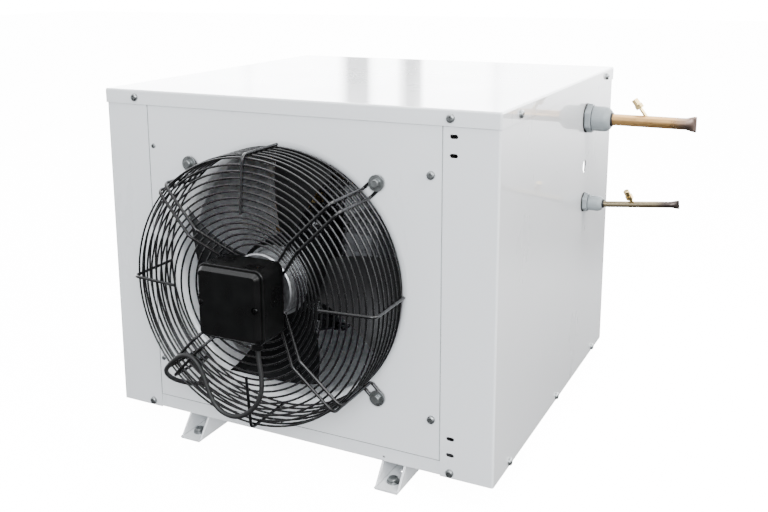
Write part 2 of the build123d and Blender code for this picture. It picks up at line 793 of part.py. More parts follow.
def make_receiver_valve():
    """Angle shut-off valve on the receiver: flanged nut, body and gland with the stem bore."""
    x, y = recv_x, recv_y
    nut = hexagon((x, y, valve_low), (0, 0, 1), 30, 14)
    body = rod((x, y, valve_low + 14), (0, 0, 1), 11, liquid_z - valve_low + 2)
    outlet = rod((x, y, liquid_z), (1, 0, 0), 8, valve_x_reach)
    gland_low = liquid_z + 16
    neck = hexagon((x, y, gland_low), (0, 0, 1), 19, 12)
    thread = rod((x, y, gland_low + 12), (0, 0, 1), 8, 10)
    valve = nut + body + outlet + neck + thread
    seat = rod((x, y, liquid_z - 4), (0, 0, 1), stem_radius + running_gap, 60)
    return valve - seat


def make_valve_stem():
    """Rising stem of the receiver valve, with a square end for the service key."""
    x, y = recv_x, recv_y
    z0 = liquid_z - 3
    stem = rod((x, y, z0), (0, 0, 1), stem_radius, 50)
    square = block((x - 2.8, x + 2.8), (y - 2.8, y + 2.8), (z0 + 50, z0 + 60))
    return stem + square


def make_filter_drier():
    """Spun copper-ended filter drier in the liquid line."""
    x0, y, z = drier_x, pipe_y, liquid_z
    with BuildSketch(Plane((x0, y, z), x_dir=(1, 0, 0), z_dir=(0, -1, 0))) as section:
        with BuildLine():
            Polyline((0, 0), (0, liquid_radius + 1.2), (10, liquid_radius + 1.2), (24, drier_radius - 2))
            ThreePointArc((24, drier_radius - 2), (25.5, drier_radius - 0.6), (28, drier_radius))
            Line((28, drier_radius), (drier_length - 28, drier_radius))
            far = drier_length
            ThreePointArc((far - 28, drier_radius), (far - 25.5, drier_radius - 0.6), (far - 24, drier_radius - 2))
            Polyline((far - 24, drier_radius - 2), (far - 10, liquid_radius + 1.2), (far, liquid_radius + 1.2),
                     (far, 0), (0, 0))
        make_face()
    return revolve(section.sketch, Axis((x0, y, z), (1, 0, 0)))


drier_x = recv_x + valve_x_reach + line_gap
glass_x = drier_x + drier_length + line_gap


def make_sight_glass():
    """Brass sight glass body with a round glass seat that faces the top."""
    x0, y, z = glass_x, pipe_y, liquid_z
    body = rod((x0, y, z), (1, 0, 0), 8, glass_length)
    middle = hexagon((x0 + 10, y, z), (1, 0, 0), 24, glass_length - 20)
    boss = rod((x0 + glass_length / 2, y, z), (0, 0, 1), 12, 20)
    seat = rod((x0 + glass_length / 2, y, z + 17), (0, 0, 1), 9.5, 10)
    return body + middle + boss - seat


def make_sight_window():
    """Glass of the moisture indicator."""
    return rod((glass_x + glass_length / 2, pipe_y, liquid_z + 17), (0, 0, 1), 9.5, 3.6)


# ---------------------------------------------------------------- copper lines
def pinched_end(start, direction, radius, squeeze, flat_width, flat_thick):
    """Tube end squeezed shut: round section lofted to a flat one, with a short flat tail."""
    round_end = Plane(start, x_dir=(0, 1, 0), z_dir=direction) * Circle(radius)
    flat_plane = Plane(start + direction * squeeze, x_dir=(0, 1, 0), z_dir=direction)
    flat = flat_plane * SlotOverall(flat_width, flat_thick, rotation=90)
    return loft([round_end, flat]) + extrude(flat, squeeze * flat_tail)


flat_tail = 0.35            # length of the flat tail as a share of the squeeze
liquid_out = Vector(cos(radians(liquid_rise)), 0, sin(radians(liquid_rise)))
liquid_knee = Vector(right + liquid_straight, pipe_y, liquid_z)


def make_suction_line():
    """Suction line from the compressor out through the gland to its sealed end."""
    start = port_end(suction_port_angle, comp_mid)
    riser_x = right - sheet - 29
    y, z = start[1], suction_z
    end = Vector(right + suction_reach - suction_flat[0] * (1 + flat_tail), pipe_y, z)
    points = [start, (riser_x, y, comp_mid), (riser_x, y, z), (riser_x, pipe_y, z), end]
    line = pipe(points, [20, 22, 22], suction_radius)
    return line + pinched_end(end, Vector(1, 0, 0), suction_radius, *suction_flat)


def make_liquid_line():
    """Liquid line in three lengths: valve to drier, drier to sight glass, sight glass to the sealed end."""
    y, z = pipe_y, liquid_z
    end = liquid_knee + liquid_out * (liquid_reach - liquid_straight - liquid_flat[0] * (1 + flat_tail))
    first = rod((recv_x + valve_x_reach, y, z), (1, 0, 0), liquid_radius, drier_x - recv_x - valve_x_reach)
    second_x = drier_x + drier_length
    second = rod((second_x, y, z), (1, 0, 0), liquid_radius, glass_x - second_x)
    third = pipe([(glass_x + glass_length, y, z), liquid_knee, end], [liquid_bend], liquid_radius)
    third = third + pinched_end(end, liquid_out, liquid_radius, *liquid_flat)
    return group([first, second, third])


coil_side_x = -tube_end - 30.0


def make_discharge_line():
    """Hot gas line from the compressor to the top tube of the front row."""
    start = port_end(discharge_port_angle, comp_mid + 30)
    out = (cos(radians(discharge_port_angle)), sin(radians(discharge_port_angle)))
    knee = (start[0] + out[0] * 46, start[1] + out[1] * 46, start[2])
    y, z = row_y[-1], tube_z[-1]
    points = [start, knee, (knee[0], knee[1], z), (coil_side_x, knee[1], z), (coil_side_x, y, z), (-tube_end, y, z)]
    return pipe(points, [14, 14, 14, 14], tube_radius)


def make_condensate_line():
    """Liquid from the top of the rear row down to the receiver inlet."""
    y, z = row_y[0], tube_z[-1]
    end_x = recv_x - receiver_radius - 8
    x = coil_side_x
    points = [(-tube_end, y, z), (x, y, z), (x, y, recv_in_z), (x, recv_y, recv_in_z), (end_x, recv_y, recv_in_z)]
    return pipe(points, [14, 14, 14], tube_radius)


# ---------------------------------------------------------------- glands and service valves
def make_gland_body(z, gland, seal):
    """Gland body: hexagon against the panel, threaded spigot through it and a threaded nose."""
    x = right + seal
    hexagonal = hexagon((x, pipe_y, z), (1, 0, 0), gland["hex"], gland["reach"] * 0.24)
    ball = rod((x, pipe_y, z), (1, 0, 0), gland["hex"] * 0.555, gland["reach"] * 0.24)
    hexagonal = hexagonal & chamfer(ball.edges().sort_by(Axis.X)[-1], 1.4)
    spigot = rod((right - sheet - 12, pipe_y, z), (1, 0, 0), gland["thread"], 12 + sheet + seal)
    nose = rod((x, pipe_y, z), (1, 0, 0), gland["thread"] - 0.5, gland["reach"] * 0.55)
    return hexagonal + spigot + nose - rod((right - 30, pipe_y, z), (1, 0, 0), gland["bore"] + 1.2, 80)


def make_gland_nut(z, gland, seal):
    """Domed compression nut with ribs round it."""
    x = right + seal + gland["reach"] * 0.24 + 0.6
    reach = gland["reach"] * 0.76 - 0.6
    r = gland["nut"] / 2
    with BuildSketch(Plane((x, pipe_y, z), x_dir=(1, 0, 0), z_dir=(0, -1, 0))) as section:
        with BuildLine():
            Polyline((0, 0), (0, r - 0.8), (0.8, r), (reach * 0.62, r))
            ThreePointArc((reach * 0.62, r), (reach * 0.86, r * 0.9), (reach, r * 0.7))
            Polyline((reach, r * 0.7), (reach, 0), (0, 0))
        make_face()
    nut = revolve(section.sketch, Axis((x, pipe_y, z), (1, 0, 0)))
    flats = hexagon((x - 1, pipe_y, z), (1, 0, 0), gland["nut"] * 0.955, reach + 2)
    twist = Plane((x - 1, pipe_y, z), z_dir=(1, 0, 0)) * Rot(0, 0, 30) * RegularPolygon(
        gland["nut"] * 0.4775, 6, major_radius=False)
    nut = nut & (flats + extrude(twist, reach + 2))
    nut = nut - rod((x - 1, pipe_y, z), (1, 0, 0), gland["thread"] - 0.5, gland["reach"] * 0.31 + 0.4)
    return nut - rod((x - 1, pipe_y, z), (1, 0, 0), gland["bore"] + 2.0, 60)


def make_gland_seal(z, gland, seal):
    """Rubber: the gasket on the panel and the sealing ring that shows round the tube."""
    x = right + seal + gland["reach"] * 0.55
    gasket = tube((right, pipe_y, z), (1, 0, 0), gland["hex"] * 0.555 + 0.6, gland["thread"], seal)
    length = gland["reach"] * 0.45 + 2.5
    ring = tube((x, pipe_y, z), (1, 0, 0), gland["bore"] + 2.0, gland["bore"], length)
    return group([gasket, ring])


def make_gland_seals():
    return group([
        make_gland_seal(suction_z, suction_gland, seal_thickness),
        make_gland_seal(liquid_z, liquid_gland, seal_thickness),
    ])


def make_gland_locknuts():
    return group([
        make_gland_locknut(suction_z, suction_gland),
        make_gland_locknut(liquid_z, liquid_gland),
    ])


def make_gland_locknut(z, gland):
    """Locknut inside the panel."""
    nut = hexagon((right - sheet - 6, pipe_y, z), (1, 0, 0), gland["thread"] * 2 + 6, 6)
    return nut - rod((right - 30, pipe_y, z), (1, 0, 0), gland["thread"], 60)


# Each access fitting stands on its line at foot; along is the line's own direction there.
suction_service = {
    "foot": Vector(right + suction_service_reach, pipe_y, suction_z), "line": suction_radius,
    "along": Vector(1, 0, 0), "direction": (-0.6, 0, 0.8), "reach": 25.0, "flats": 11.0,
}
liquid_service = {
    "foot": liquid_knee + liquid_out * (liquid_service_reach - liquid_straight), "line": liquid_radius,
    "along": liquid_out, "direction": (-0.35, -0.45, 0.82), "reach": 12.0, "flats": 10.0,
}


def service_valve(foot, line, along, direction, reach, flats):
    """Access fitting: copper stub saddled on its line, brass hexagon and a threaded neck."""
    out = Vector(*direction).normalized()
    stub = rod(foot, out, 2.6, reach)
    body = hexagon(foot + out * reach, out, flats, service_body)
    neck = rod(foot + out * (reach + service_body), out, flats * 0.32, service_neck)
    return stub + body + neck - rod(foot - along * 2 * reach, along, line, 4 * reach)


def make_service_cap(fitting):
    """Brass cap screwed over the access fitting's neck."""
    out = Vector(*fitting["direction"]).normalized()
    start = fitting["foot"] + out * (fitting["reach"] + service_body)
    cap = rod(start, out, fitting["flats"] * 0.46, service_neck + 3.5)
    rim = cap.edges().sort_by(Axis(start, out))[-1]
    return fillet(rim, 1.2) - rod(start - out, out, fitting["flats"] * 0.32, service_neck + 1)


# ---------------------------------------------------------------- fan: guard
wire_step = (ring_wire + spoke_wire) / 2 - wire_bite    # between the centre lines of crossing wires
arm_seat = front - motor_face - spoke_wire / 2
knee_y = front - guard_depth - guard_dome
corner_y = front - guard_depth
slope_outside = (corner_y - knee_y) / (guard_radius - knee_radius)
slope_inside = (arm_seat - knee_y) / (knee_radius - arm_foot_outer)
corner_step = corner_bend - (corner_bend - wire_step) * cos(pi / 4)
corner_ring_radius = guard_radius - corner_step
corner_ring_y = corner_y + corner_step
front_ring_pitch = (corner_ring_radius - knee_radius) / (rings_outside_knee - 0.5)
side_ring_pitch = (front - rim_gap - corner_ring_y) / (side_rings - 1)


def wire_ring(radius, y, facing):
    """One ring of the guard, its section a small polygon with a flat towards the wires that carry it."""
    section = Plane((fan_x, 0, fan_z), x_dir=(1, 0, 0), z_dir=(0, 0, 1))
    turn = facing - 180 / wire_sides
    wire = RegularPolygon(ring_wire / 2, wire_sides, major_radius=False, rotation=turn)
    return revolve(section * Pos(radius, y) * wire, Axis((fan_x, 0, fan_z), (0, 1, 0)))


def make_guard_rings():
    """Rings welded behind the front wires, in the corner bend and inside the wires' rear legs."""
    rings = [wire_ring(corner_ring_radius, corner_ring_y, -45)]
    for i in range(rings_outside_knee - 1):
        reach = (i + 0.5) * front_ring_pitch
        seat = wire_step * hypot(1, slope_outside)
        rings.append(wire_ring(knee_radius + reach, knee_y + slope_outside * reach + seat, -90))
    for i in range(rings_inside_knee):
        reach = (i + 0.5) * front_ring_pitch
        seat = wire_step * hypot(1, slope_inside)
        tilt = degrees(atan(slope_inside))
        rings.append(wire_ring(knee_radius - reach, knee_y + slope_inside * reach + seat, -90 - tilt))
    for i in range(1, side_rings):
        rings.append(wire_ring(guard_radius - wire_step, corner_ring_y + i * side_ring_pitch, 0))
    return group(rings)


def make_guard_spokes():
    """Single wires at top, bottom and both sides: radial in front, bent back at the rim."""
    spokes = []
    inner = knee_radius + front_ring_pitch / 2 - ring_wire
    for angle in (0, 90, 180, 270):
        points = [
            around_fan(inner, angle, knee_y + slope_outside * (inner - knee_radius)),
            around_fan(guard_radius, angle, corner_y),
            around_fan(guard_radius, angle, front - rim_gap + ring_wire),
        ]
        spokes.append(pipe(points, [corner_bend], spoke_wire / 2))
    return group(spokes)


def arm_point(radius, angle, y, offset):
    """Point in an arm, offset sideways from its radial plane."""
    x, _, z = around_fan(radius, angle, y)
    return (x - offset * sin(radians(angle)), y, z + offset * cos(radians(angle)))


def make_guard_arms():
    """Double-wire arms: from the motor out to the rim, back to the panel and round the lug bolt."""
    arms = []
    half = arm_gap / 2
    seat_y = front - spoke_wire / 2
    for angle in lug_angles:
        run = [
            (arm_foot_inner, arm_seat),
            (arm_foot_outer, arm_seat),
            (knee_radius, knee_y),
            (guard_radius, corner_y),
            (guard_radius, seat_y),
            (lug_radius + half, seat_y),
        ]
        points = [arm_point(r, angle, y, -half) for r, y in run]
        points += [arm_point(r, angle, y, half) for r, y in run[::-1]]
        bends = [foot_bend, knee_bend, corner_bend, lug_bend, half - 0.01]
        bends += bends[::-1]
        arms.append(pipe(points, bends, spoke_wire / 2))
    return group(arms)


def make_lug_washers():
    """Large washers that clamp the arms' loops."""
    y = front - spoke_wire
    return group([washer((x, y, z), (0, -1, 0), 22, lug_bolt, 1.8) for x, _, z in lug_spots])


def make_lug_bolts():
    """Hexagon bolts through the lug loops into the fan panel."""
    y = front - spoke_wire - 1.8
    return group([hex_screw((x, y, z), (0, -1, 0), 10, 5, lug_bolt, 18) for x, _, z in lug_spots])


# ---------------------------------------------------------------- fan: motor
stator_front = front - motor_face
rotor_front = stator_front + stator_flange + 30
rotor_back = rotor_front + rotor_depth


def fan_rod(y, radius, length):
    """Bar on the fan axis, from y backwards."""
    return rod((fan_x, y, fan_z), (0, 1, 0), radius, length)


def make_stator():
    """Fixed part of the motor: the flange that the arms carry, the bearing tube and the core."""
    flange = fan_rod(stator_front, stator_radius, stator_flange)
    flange = chamfer(flange.edges().sort_by(Axis.Y)[:1], 1.5)
    neck = fan_rod(stator_front + stator_flange, stator_radius - 9, rotor_front - stator_front - stator_flange + 4)
    core = fan_rod(rotor_front + 4, rotor_radius - 5, rotor_depth - 20)
    stator = flange + neck + core
    bore = fan_rod(stator_front + stator_flange, bearing_radius - 4, rotor_depth + 60)
    seats = fan_rod(bearing_front, bearing_radius, bearing_width)
    seats = seats + fan_rod(rotor_front + rotor_depth - 16 - bearing_width, bearing_radius, bearing_width + 10)
    stator = stator - bore - seats
    spots = [arm_point(arm_screw_radius, a, stator_front, 0) for a in lug_angles]
    return holes(stator, spots, (0, 1, 0), 2.5, 7)


bearing_front = stator_front + stator_flange + 12
bearing_rear = rotor_front + rotor_depth - 16 - bearing_width


def make_bearings():
    """Two ball bearings of the motor, drawn as closed rings."""
    pieces = []
    for y in (bearing_front, bearing_rear):
        start = (fan_x, y, fan_z)
        ring = tube(start, (0, 1, 0), bearing_radius, shaft_radius + running_gap, bearing_width)
        groove = tube((fan_x, y - 1, fan_z), (0, 1, 0), bearing_radius - 2.4, shaft_radius + 2.4, 1.6)
        pieces.append(ring - groove)
    return group(pieces)


def make_shaft():
    """Motor shaft pressed into the rotor."""
    y0 = bearing_front - 3
    return fan_rod(y0, shaft_radius, rotor_back - 4 - y0)


def make_rotor():
    """External rotor: a cup that turns round the core."""
    cup = fan_rod(rotor_front + 1.5, rotor_radius, rotor_depth - 1.5)
    cup = fillet(cup.edges().sort_by(Axis.Y)[-1], 4)
    hollow = fan_rod(rotor_front, rotor_radius - 5 + air_gap, rotor_depth - 12)
    cup = cup - hollow
    return cup - fan_rod(rotor_front, shaft_radius, rotor_back - 4 - rotor_front)


def blade_section(radius, share):
    """Curved thin section of a blade, on a plane square to the radius at this distance."""
    chord = blade_chord_root + (blade_chord_tip - blade_chord_root) * share
    pitch = blade_pitch_root + (blade_pitch_tip - blade_pitch_root) * share
    angle = -blade_sweep * share ** 1.5
    half, t = chord / 2, blade_thickness / 2
    camber = -chord * blade_camber
    out = Vector(cos(radians(angle)), 0, sin(radians(angle)))
    plane = Plane(around_fan(radius, angle, blade_mid), x_dir=out.cross(Vector(0, 1, 0)), z_dir=out)
    with BuildSketch() as sketch:
        with BuildLine():
            upper = ThreePointArc((-half, t * 0.5), (0, camber + t), (half, t * 0.5))
            Line(upper @ 1, (half, -t * 0.5))
            lower = ThreePointArc((half, -t * 0.5), (0, camber - t), (-half, -t * 0.5))
            Line(lower @ 1, upper @ 0)
        make_face()
    return plane * Rot(0, 0, -pitch) * sketch.sketch


hub_front = rotor_front + 2
blade_mid = hub_front + hub_depth / 2


def make_impeller():
    """Moulded hub shell on the rotor with sickle-shaped blades trimmed to the throat."""
    hub = fan_rod(hub_front, hub_radius, hub_depth)
    hub = fillet(hub.edges().sort_by(Axis.Y)[-1], 6)
    hub = hub - fan_rod(hub_front - 1, rotor_radius, rotor_back - hub_front + 1)
    shares = (0.0, 0.35, 0.7, 1.0)
    root, tip = hub_radius - 2, throat_radius + 6
    sections = [blade_section(root + (tip - root) * s, s) for s in shares]
    blade = loft(sections)
    envelope = tube((fan_x, hub_front - 40, fan_z), (0, 1, 0), throat_radius - tip_clearance,
                    hub_radius - 1, hub_depth + 80)
    blade = blade & envelope
    axis = Axis((fan_x, 0, fan_z), (0, 1, 0))
    impeller = hub
    for i in range(blade_count):
        impeller = impeller + blade.rotate(axis, i * 360 / blade_count)
    return impeller


def make_motor_screws():
    """Screws with washers that hold the arms' feet to the stator flange."""
    pieces = []
    for angle in lug_angles:
        x, _, z = arm_point(arm_screw_radius, angle, 0, 0)
        y = stator_front - spoke_wire
        plate = washer((x, y, z), (0, -1, 0), 18, 5, 1.2)
        pieces.append(plate)
        pieces.append(hex_screw((x, y - 1.2, z), (0, -1, 0), 8, 3.5, 5, 11))
    return group(pieces)


# ---------------------------------------------------------------- fan: terminal box
box_back = stator_front - box_standoff
box_front = box_back - box_depth
cover_face = box_front - cover_depth
cover_screw_x = box_width / 2 - cover_screw_inset
gland_x = fan_x + box_gland_side
gland_y = box_front + box_gland_back


def rounded_box(width_, height_, corner, y0, y1):
    """Box with rounded corners, square to the fan axis."""
    face = Plane((fan_x, y1, fan_z), x_dir=(1, 0, 0), z_dir=(0, -1, 0)) * RectangleRounded(width_, height_, corner)
    return extrude(face, y1 - y0)


def make_terminal_box():
    """Moulded body of the terminal box on its neck, open to the front."""
    body = rounded_box(box_width, box_height, box_corner, box_front, box_back)
    inside = rounded_box(box_width - 2 * box_wall, box_height - 2 * box_wall, box_corner - box_wall,
                         box_front - 1, box_back - box_wall)
    body = body - inside
    neck = tube((fan_x, box_back - box_wall, fan_z), (0, 1, 0), 20, 16, box_standoff + box_wall)
    body = body - fan_rod(box_back - box_wall - 1, 16, box_wall + 2) + neck
    for side in (-1, 1):
        post = rod((fan_x + side * cover_screw_x, box_front, fan_z), (0, 1, 0), 4.5, box_depth - box_wall / 2)
        body = body + post - rod((fan_x + side * cover_screw_x, box_front - 1, fan_z), (0, 1, 0), 1.75, 16)
    return body - rod((gland_x, gland_y, fan_z - box_height / 2 - 1), (0, 0, 1), 8, box_wall + 2)


def make_terminal_cover_lid():
    """Stepped cover with bevelled edges and a recess round each screw."""
    rim = rounded_box(box_width, box_height, box_corner, box_front - cover_depth * 0.4, box_front)
    edge = rim.faces().sort_by(Axis.Y)[0].edges()
    rim = fillet(edge, 1.5)
    w = box_width - 6
    raised = rounded_box(w, box_height - 6, box_corner - 3, cover_face, box_front - cover_depth * 0.4)
    raised = chamfer(raised.faces().sort_by(Axis.Y)[0].edges(), cover_bevel, cover_bevel * 0.7)
    lid = rim + raised
    for side in (-1, 1):
        x = fan_x + side * cover_screw_x
        lid = lid - rod((x, cover_face, fan_z), (0, 1, 0), 4.6, cover_recess)
        lid = lid - rod((x, cover_face, fan_z), (0, 1, 0), 1.85, cover_depth)
    return lid


def make_cover_screws():
    """Two screws in the cover's recesses, long enough to reach the posts of the box."""
    pieces = []
    for side in (-1, 1):
        seat = (fan_x + side * cover_screw_x, cover_face + cover_recess, fan_z)
        length = cover_depth - cover_recess + screw_grip
        pieces.append(pan_head_screw(seat, (0, -1, 0), 7.0, 2.4, small_screw_thread, length))
    return group(pieces)


def make_box_gland():
    """Cable gland under the terminal box."""
    z = fan_z - box_height / 2
    nut = hexagon((gland_x, gland_y, z), (0, 0, -1), 19, 5)
    dome = rod((gland_x, gland_y, z - 5), (0, 0, -1), 9, 10)
    dome = fillet(dome.edges().sort_by(Axis.Z)[0], 2.5)
    spigot = rod((gland_x, gland_y, z), (0, 0, 1), 8, box_wall + 5)
    gland = nut + dome + spigot
    return gland - rod((gland_x, gland_y, z - 20), (0, 0, 1), cable_radius, 40)


def make_grommet():
    """Rubber grommet where the fan cable enters the housing."""
    x, y, z = grommet_spot
    flange = rod((x, y, z), (0, -1, 0), grommet_hole + 3, 2)
    flange = fillet(flange.edges().sort_by(Axis.Y)[0], 1)
    waist = rod((x, y, z), (0, 1, 0), grommet_hole, sheet)
    rear = rod((x, y + sheet, z), (0, 1, 0), grommet_hole + 2, 2)
    return flange + waist + rear - rod((x, y - 5, z), (0, 1, 0), cable_radius, 20)


# ---------------------------------------------------------------- electrical parts
plate_y = front + plate_depth
plate_left = right - sheet - plate_length
plate_low = base + plate_rise
plate_high = plate_low + plate_height
contactor_x = plate_left + contactor_side
contactor_z = plate_low + 80.0
strip_x = plate_left + strip_side


def make_electrical_plate():
    """Galvanised mounting plate, flanged to the right side panel."""
    plate = block((plate_left, right - sheet), (plate_y, plate_y + plate_sheet), (plate_low, plate_high))
    flange = block((right - sheet - plate_sheet, right - sheet), (plate_y, plate_y + 24), (plate_low, plate_high))
    lip = block((plate_left, right - sheet - 8), (plate_y, plate_y + 10), (plate_low, plate_low + plate_sheet))
    return plate + flange + lip


def make_contactor():
    """Contactor body with terminal troughs and the window of its armature."""
    w, d, h = contactor_size
    x0, y0, z0 = contactor_x - w / 2, plate_y - d, contactor_z - h / 2
    body = block((x0, x0 + w), (y0 + 16, plate_y), (z0, z0 + h))
    nose = block((x0 + 3, x0 + w - 3), (y0, y0 + 16), (z0 + 20, z0 + h - 20))
    body = body + nose
    body = fillet(body.edges().filter_by(Axis.Y), 1.2)
    for i in range(4):
        x = x0 + 6.5 + i * 10.7
        for z in (z0 + 9, z0 + h - 9):
            body = body - block((x - 3.6, x + 3.6), (y0 + 15, y0 + 24), (z - 10, z + 6))
    window = block(
        (contactor_x - 8, contactor_x + 8), (y0 - 1, y0 + 30), (contactor_z - 6, contactor_z + 6),
    )
    return body - window


def make_armature():
    """Moving armature carrier of the contactor, seen in its window."""
    y0 = plate_y - contactor_size[1]
    slide = block(
        (contactor_x - 8 + slide_gap, contactor_x + 8 - slide_gap), (y0 + 1, y0 + 24),
        (contactor_z - 6 + slide_gap, contactor_z + 6 - slide_gap),
    )
    return chamfer(slide.edges().filter_by(Axis.X).sort_by(Axis.Y)[:2], 0.8)


def make_contactor_screws():
    """Terminal screws of the contactor."""
    w, d, h = contactor_size
    x0, y0, z0 = contactor_x - w / 2, plate_y - d, contactor_z - h / 2
    seats = []
    for i in range(4):
        for z in (z0 + 9, z0 + h - 9):
            seats.append((x0 + 6.5 + i * 10.7, y0 + 24, z))
    return group([rod(seat, (0, -1, 0), 2.9, 4) for seat in seats])


def make_terminal_strip():
    """Barrier terminal strip on end beside the contactor."""
    z0 = contactor_z - strip_poles * strip_pole_pitch / 2
    strip = block((strip_x - 12, strip_x + 12), (plate_y - 22, plate_y), (z0, z0 + strip_poles * strip_pole_pitch))
    for i in range(strip_poles):
        z = z0 + (i + 0.5) * strip_pole_pitch
        strip = strip - block((strip_x - 13, strip_x + 13), (plate_y - 23, plate_y - 15), (z - 3.2, z + 3.2))
    return strip


def make_strip_screws():
    """Clamp screws of the terminal strip."""
    z0 = contactor_z - strip_poles * strip_pole_pitch / 2
    spots = []
    for i in range(strip_poles):
        z = z0 + (i + 0.5) * strip_pole_pitch
        spots += [(strip_x - 6, plate_y - 15, z), (strip_x + 6, plate_y - 15, z)]
    return group([rod(spot, (0, -1, 0), 2.6, 4) for spot in spots])


capacitor_x = plate_left + capacitor_side
capacitor_low = plate_low + 27.0
clamp_sheet = 1.2


def make_capacitor():
    """Run capacitor: aluminium can with a crimped top."""
    x, y, z = capacitor_x, plate_y - capacitor_radius - clamp_sheet, capacitor_low
    can = rod((x, y, z), (0, 0, 1), capacitor_radius, capacitor_length)
    can = fillet(can.edges().filter_by(GeomType.CIRCLE), 2)
    rim = rod((x, y, z + capacitor_length - 8), (0, 0, 1), capacitor_radius + 0.8, 3)
    return can + rim


def make_capacitor_clamp():
    """Band that holds the capacitor to the plate."""
    x, y, z = capacitor_x, plate_y - capacitor_radius - clamp_sheet, capacitor_low + capacitor_length * 0.43
    band = tube((x, y, z), (0, 0, 1), capacitor_radius + clamp_sheet, capacitor_radius, 14)
    ears = block((x - capacitor_radius - 12, x + capacitor_radius + 12), (plate_y - clamp_sheet, plate_y),
                 (z, z + 14))
    core = rod((x, y, z - 1), (0, 0, 1), capacitor_radius, 20)
    return band + (ears - core)


switch_x = plate_left + switch_side


def make_pressure_switch():
    """Dual pressure switch: housing with a window, two adjusting spindles and two bellows ports."""
    w, d, h = switch_size
    z0 = plate_low + 27.0
    body = block((switch_x - w / 2, switch_x + w / 2), (plate_y - d, plate_y), (z0, z0 + h))
    body = fillet(body.edges().filter_by(Axis.Y), 4)
    window = block((switch_x - w / 2 + 10, switch_x + w / 2 - 10), (plate_y - d - 1, plate_y - d + 1.5),
                   (z0 + 40, z0 + h - 14))
    body = body - window
    for x in (switch_x - 20, switch_x + 20):
        body = body + rod((x, plate_y - d / 2, z0), (0, 0, -1), 13, 14)
        body = body + rod((x, plate_y - d / 2, z0 + h), (0, 0, 1), 4, 7)
    return body


# ---------------------------------------------------------------- fan cable
# Route from the terminal box gland to the grommet: x and z from the fan axis, y from the fan panel.
cable_route = [
    (24, -102, -44), (24, -102, -72), (27, -103, -88), (30, -104, -106), (30, -106, -127), (18, -107, -149),
    (-8, -107, -167), (-35, -106, -165), (-50, -106, -150), (-58, -106, -128), (-67, -106, -106),
    (-80, -106, -93), (-95, -106, -93), (-111, -104, -103), (-127, -99, -118), (-140, -90, -131),
    (-148, -75, -146), (-151, -56, -161), (-149, -34, -174), (-142, -14, -184), (-142, 8, -184),
]


def make_fan_cable():
    """Free loop of cable from the terminal box gland over the guard to the grommet in the fan panel."""
    points = [Vector(fan_x + x, front + y, fan_z + z) for x, y, z in cable_route]
    runs = [b - a for a, b in zip(points, points[1:])]
    radii = []
    for before, after in zip(runs, runs[1:]):
        turn = radians(before.get_angle(after))
        radii.append(0.45 * min(before.length, after.length) / tan(turn / 2))
    print("cable radii", [round(r) for r in radii])
    return pipe(points, radii, cable_radius)


# ---------------------------------------------------------------- all pieces
nodes = {
    "base_pan": make_base_pan,
    "rail_left": lambda: make_rail(-rail_spacing / 2),
    "rail_right": lambda: make_rail(rail_spacing / 2),
    "foot_bolts": make_foot_bolts,
    "left_panel": lambda: make_side_panel(-1),
    "right_panel": make_right_panel,
    "fan_panel": make_fan_panel,
    "rear_panel": make_rear_panel,
    "top_lid": make_top_lid,
    "housing_screws": make_housing_screws,
    "coil_guard": make_coil_guard,
    "condenser_fins": make_condenser_fins,
    "condenser_end_plates": lambda: group([make_end_plate(-1), make_end_plate(1)]),
    "condenser_tubes": make_condenser_tubes,
    "compressor_shell": make_compressor_shell,
    "compressor_feet": make_compressor_feet,
    "compressor_grommets": make_grommets,
    "floor_bolts": lambda: group([make_compressor_bolts(), make_receiver_bolts()]),
    "compressor_terminal_cover": make_terminal_cover,
    "receiver": make_receiver,
    "receiver_valve": make_receiver_valve,
    "receiver_valve_stem": make_valve_stem,
    "filter_drier": make_filter_drier,
    "sight_glass_body": make_sight_glass,
    "sight_glass_window": make_sight_window,
    "discharge_line": make_discharge_line,
    "condensate_line": make_condensate_line,
    "suction_line": make_suction_line,
    "liquid_line": make_liquid_line,
    "suction_gland_body": lambda: make_gland_body(suction_z, suction_gland, seal_thickness),
    "suction_gland_nut": lambda: make_gland_nut(suction_z, suction_gland, seal_thickness),
    "liquid_gland_body": lambda: make_gland_body(liquid_z, liquid_gland, seal_thickness),
    "liquid_gland_nut": lambda: make_gland_nut(liquid_z, liquid_gland, seal_thickness),
    "gland_seals": make_gland_seals,
    "gland_locknuts": make_gland_locknuts,
    "service_valves": lambda: group([service_valve(**suction_service), service_valve(**liquid_service)]),
    "service_valve_caps": lambda: group([make_service_cap(s) for s in (suction_service, liquid_service)]),
    "fan_guard_rings": make_guard_rings,
    "fan_guard_spokes": make_guard_spokes,
    "fan_guard_arms": make_guard_arms,
    "guard_bolts": lambda: group([make_lug_washers(), make_lug_bolts()]),
    "motor_screws": make_motor_screws,
    "motor_stator": make_stator,
    "motor_bearings": make_bearings,
    "motor_shaft": make_shaft,
    "motor_rotor": make_rotor,
    "fan_impeller": make_impeller,
    "terminal_box": make_terminal_box,
    "terminal_box_cover": make_terminal_cover_lid,
    "terminal_box_fixings": lambda: group([make_cover_screws(), make_box_gland()]),
    "fan_cable": make_fan_cable,
    "cable_grommet": make_grommet,
    "electrical_plate": make_electrical_plate,
    "contactor": make_contactor,
    "contactor_armature": make_armature,
    "terminal_strip": make_terminal_strip,
    "terminal_screws": lambda: group([make_contactor_screws(), make_strip_screws()]),
    "capacitor": make_capacitor,
    "capacitor_clamp": make_capacitor_clamp,
    "pressure_switch": make_pressure_switch,
}

for name, make in nodes.items():
    export_step(make(), f"parts/{name}.step")
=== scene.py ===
"""Looks of the condensing unit: finishes, guard wires, fan cable, studio and camera."""
import json
from math import cos, pi, radians, sin

import bmesh
import bpy
import numpy as np
from mathutils import Matrix, Vector


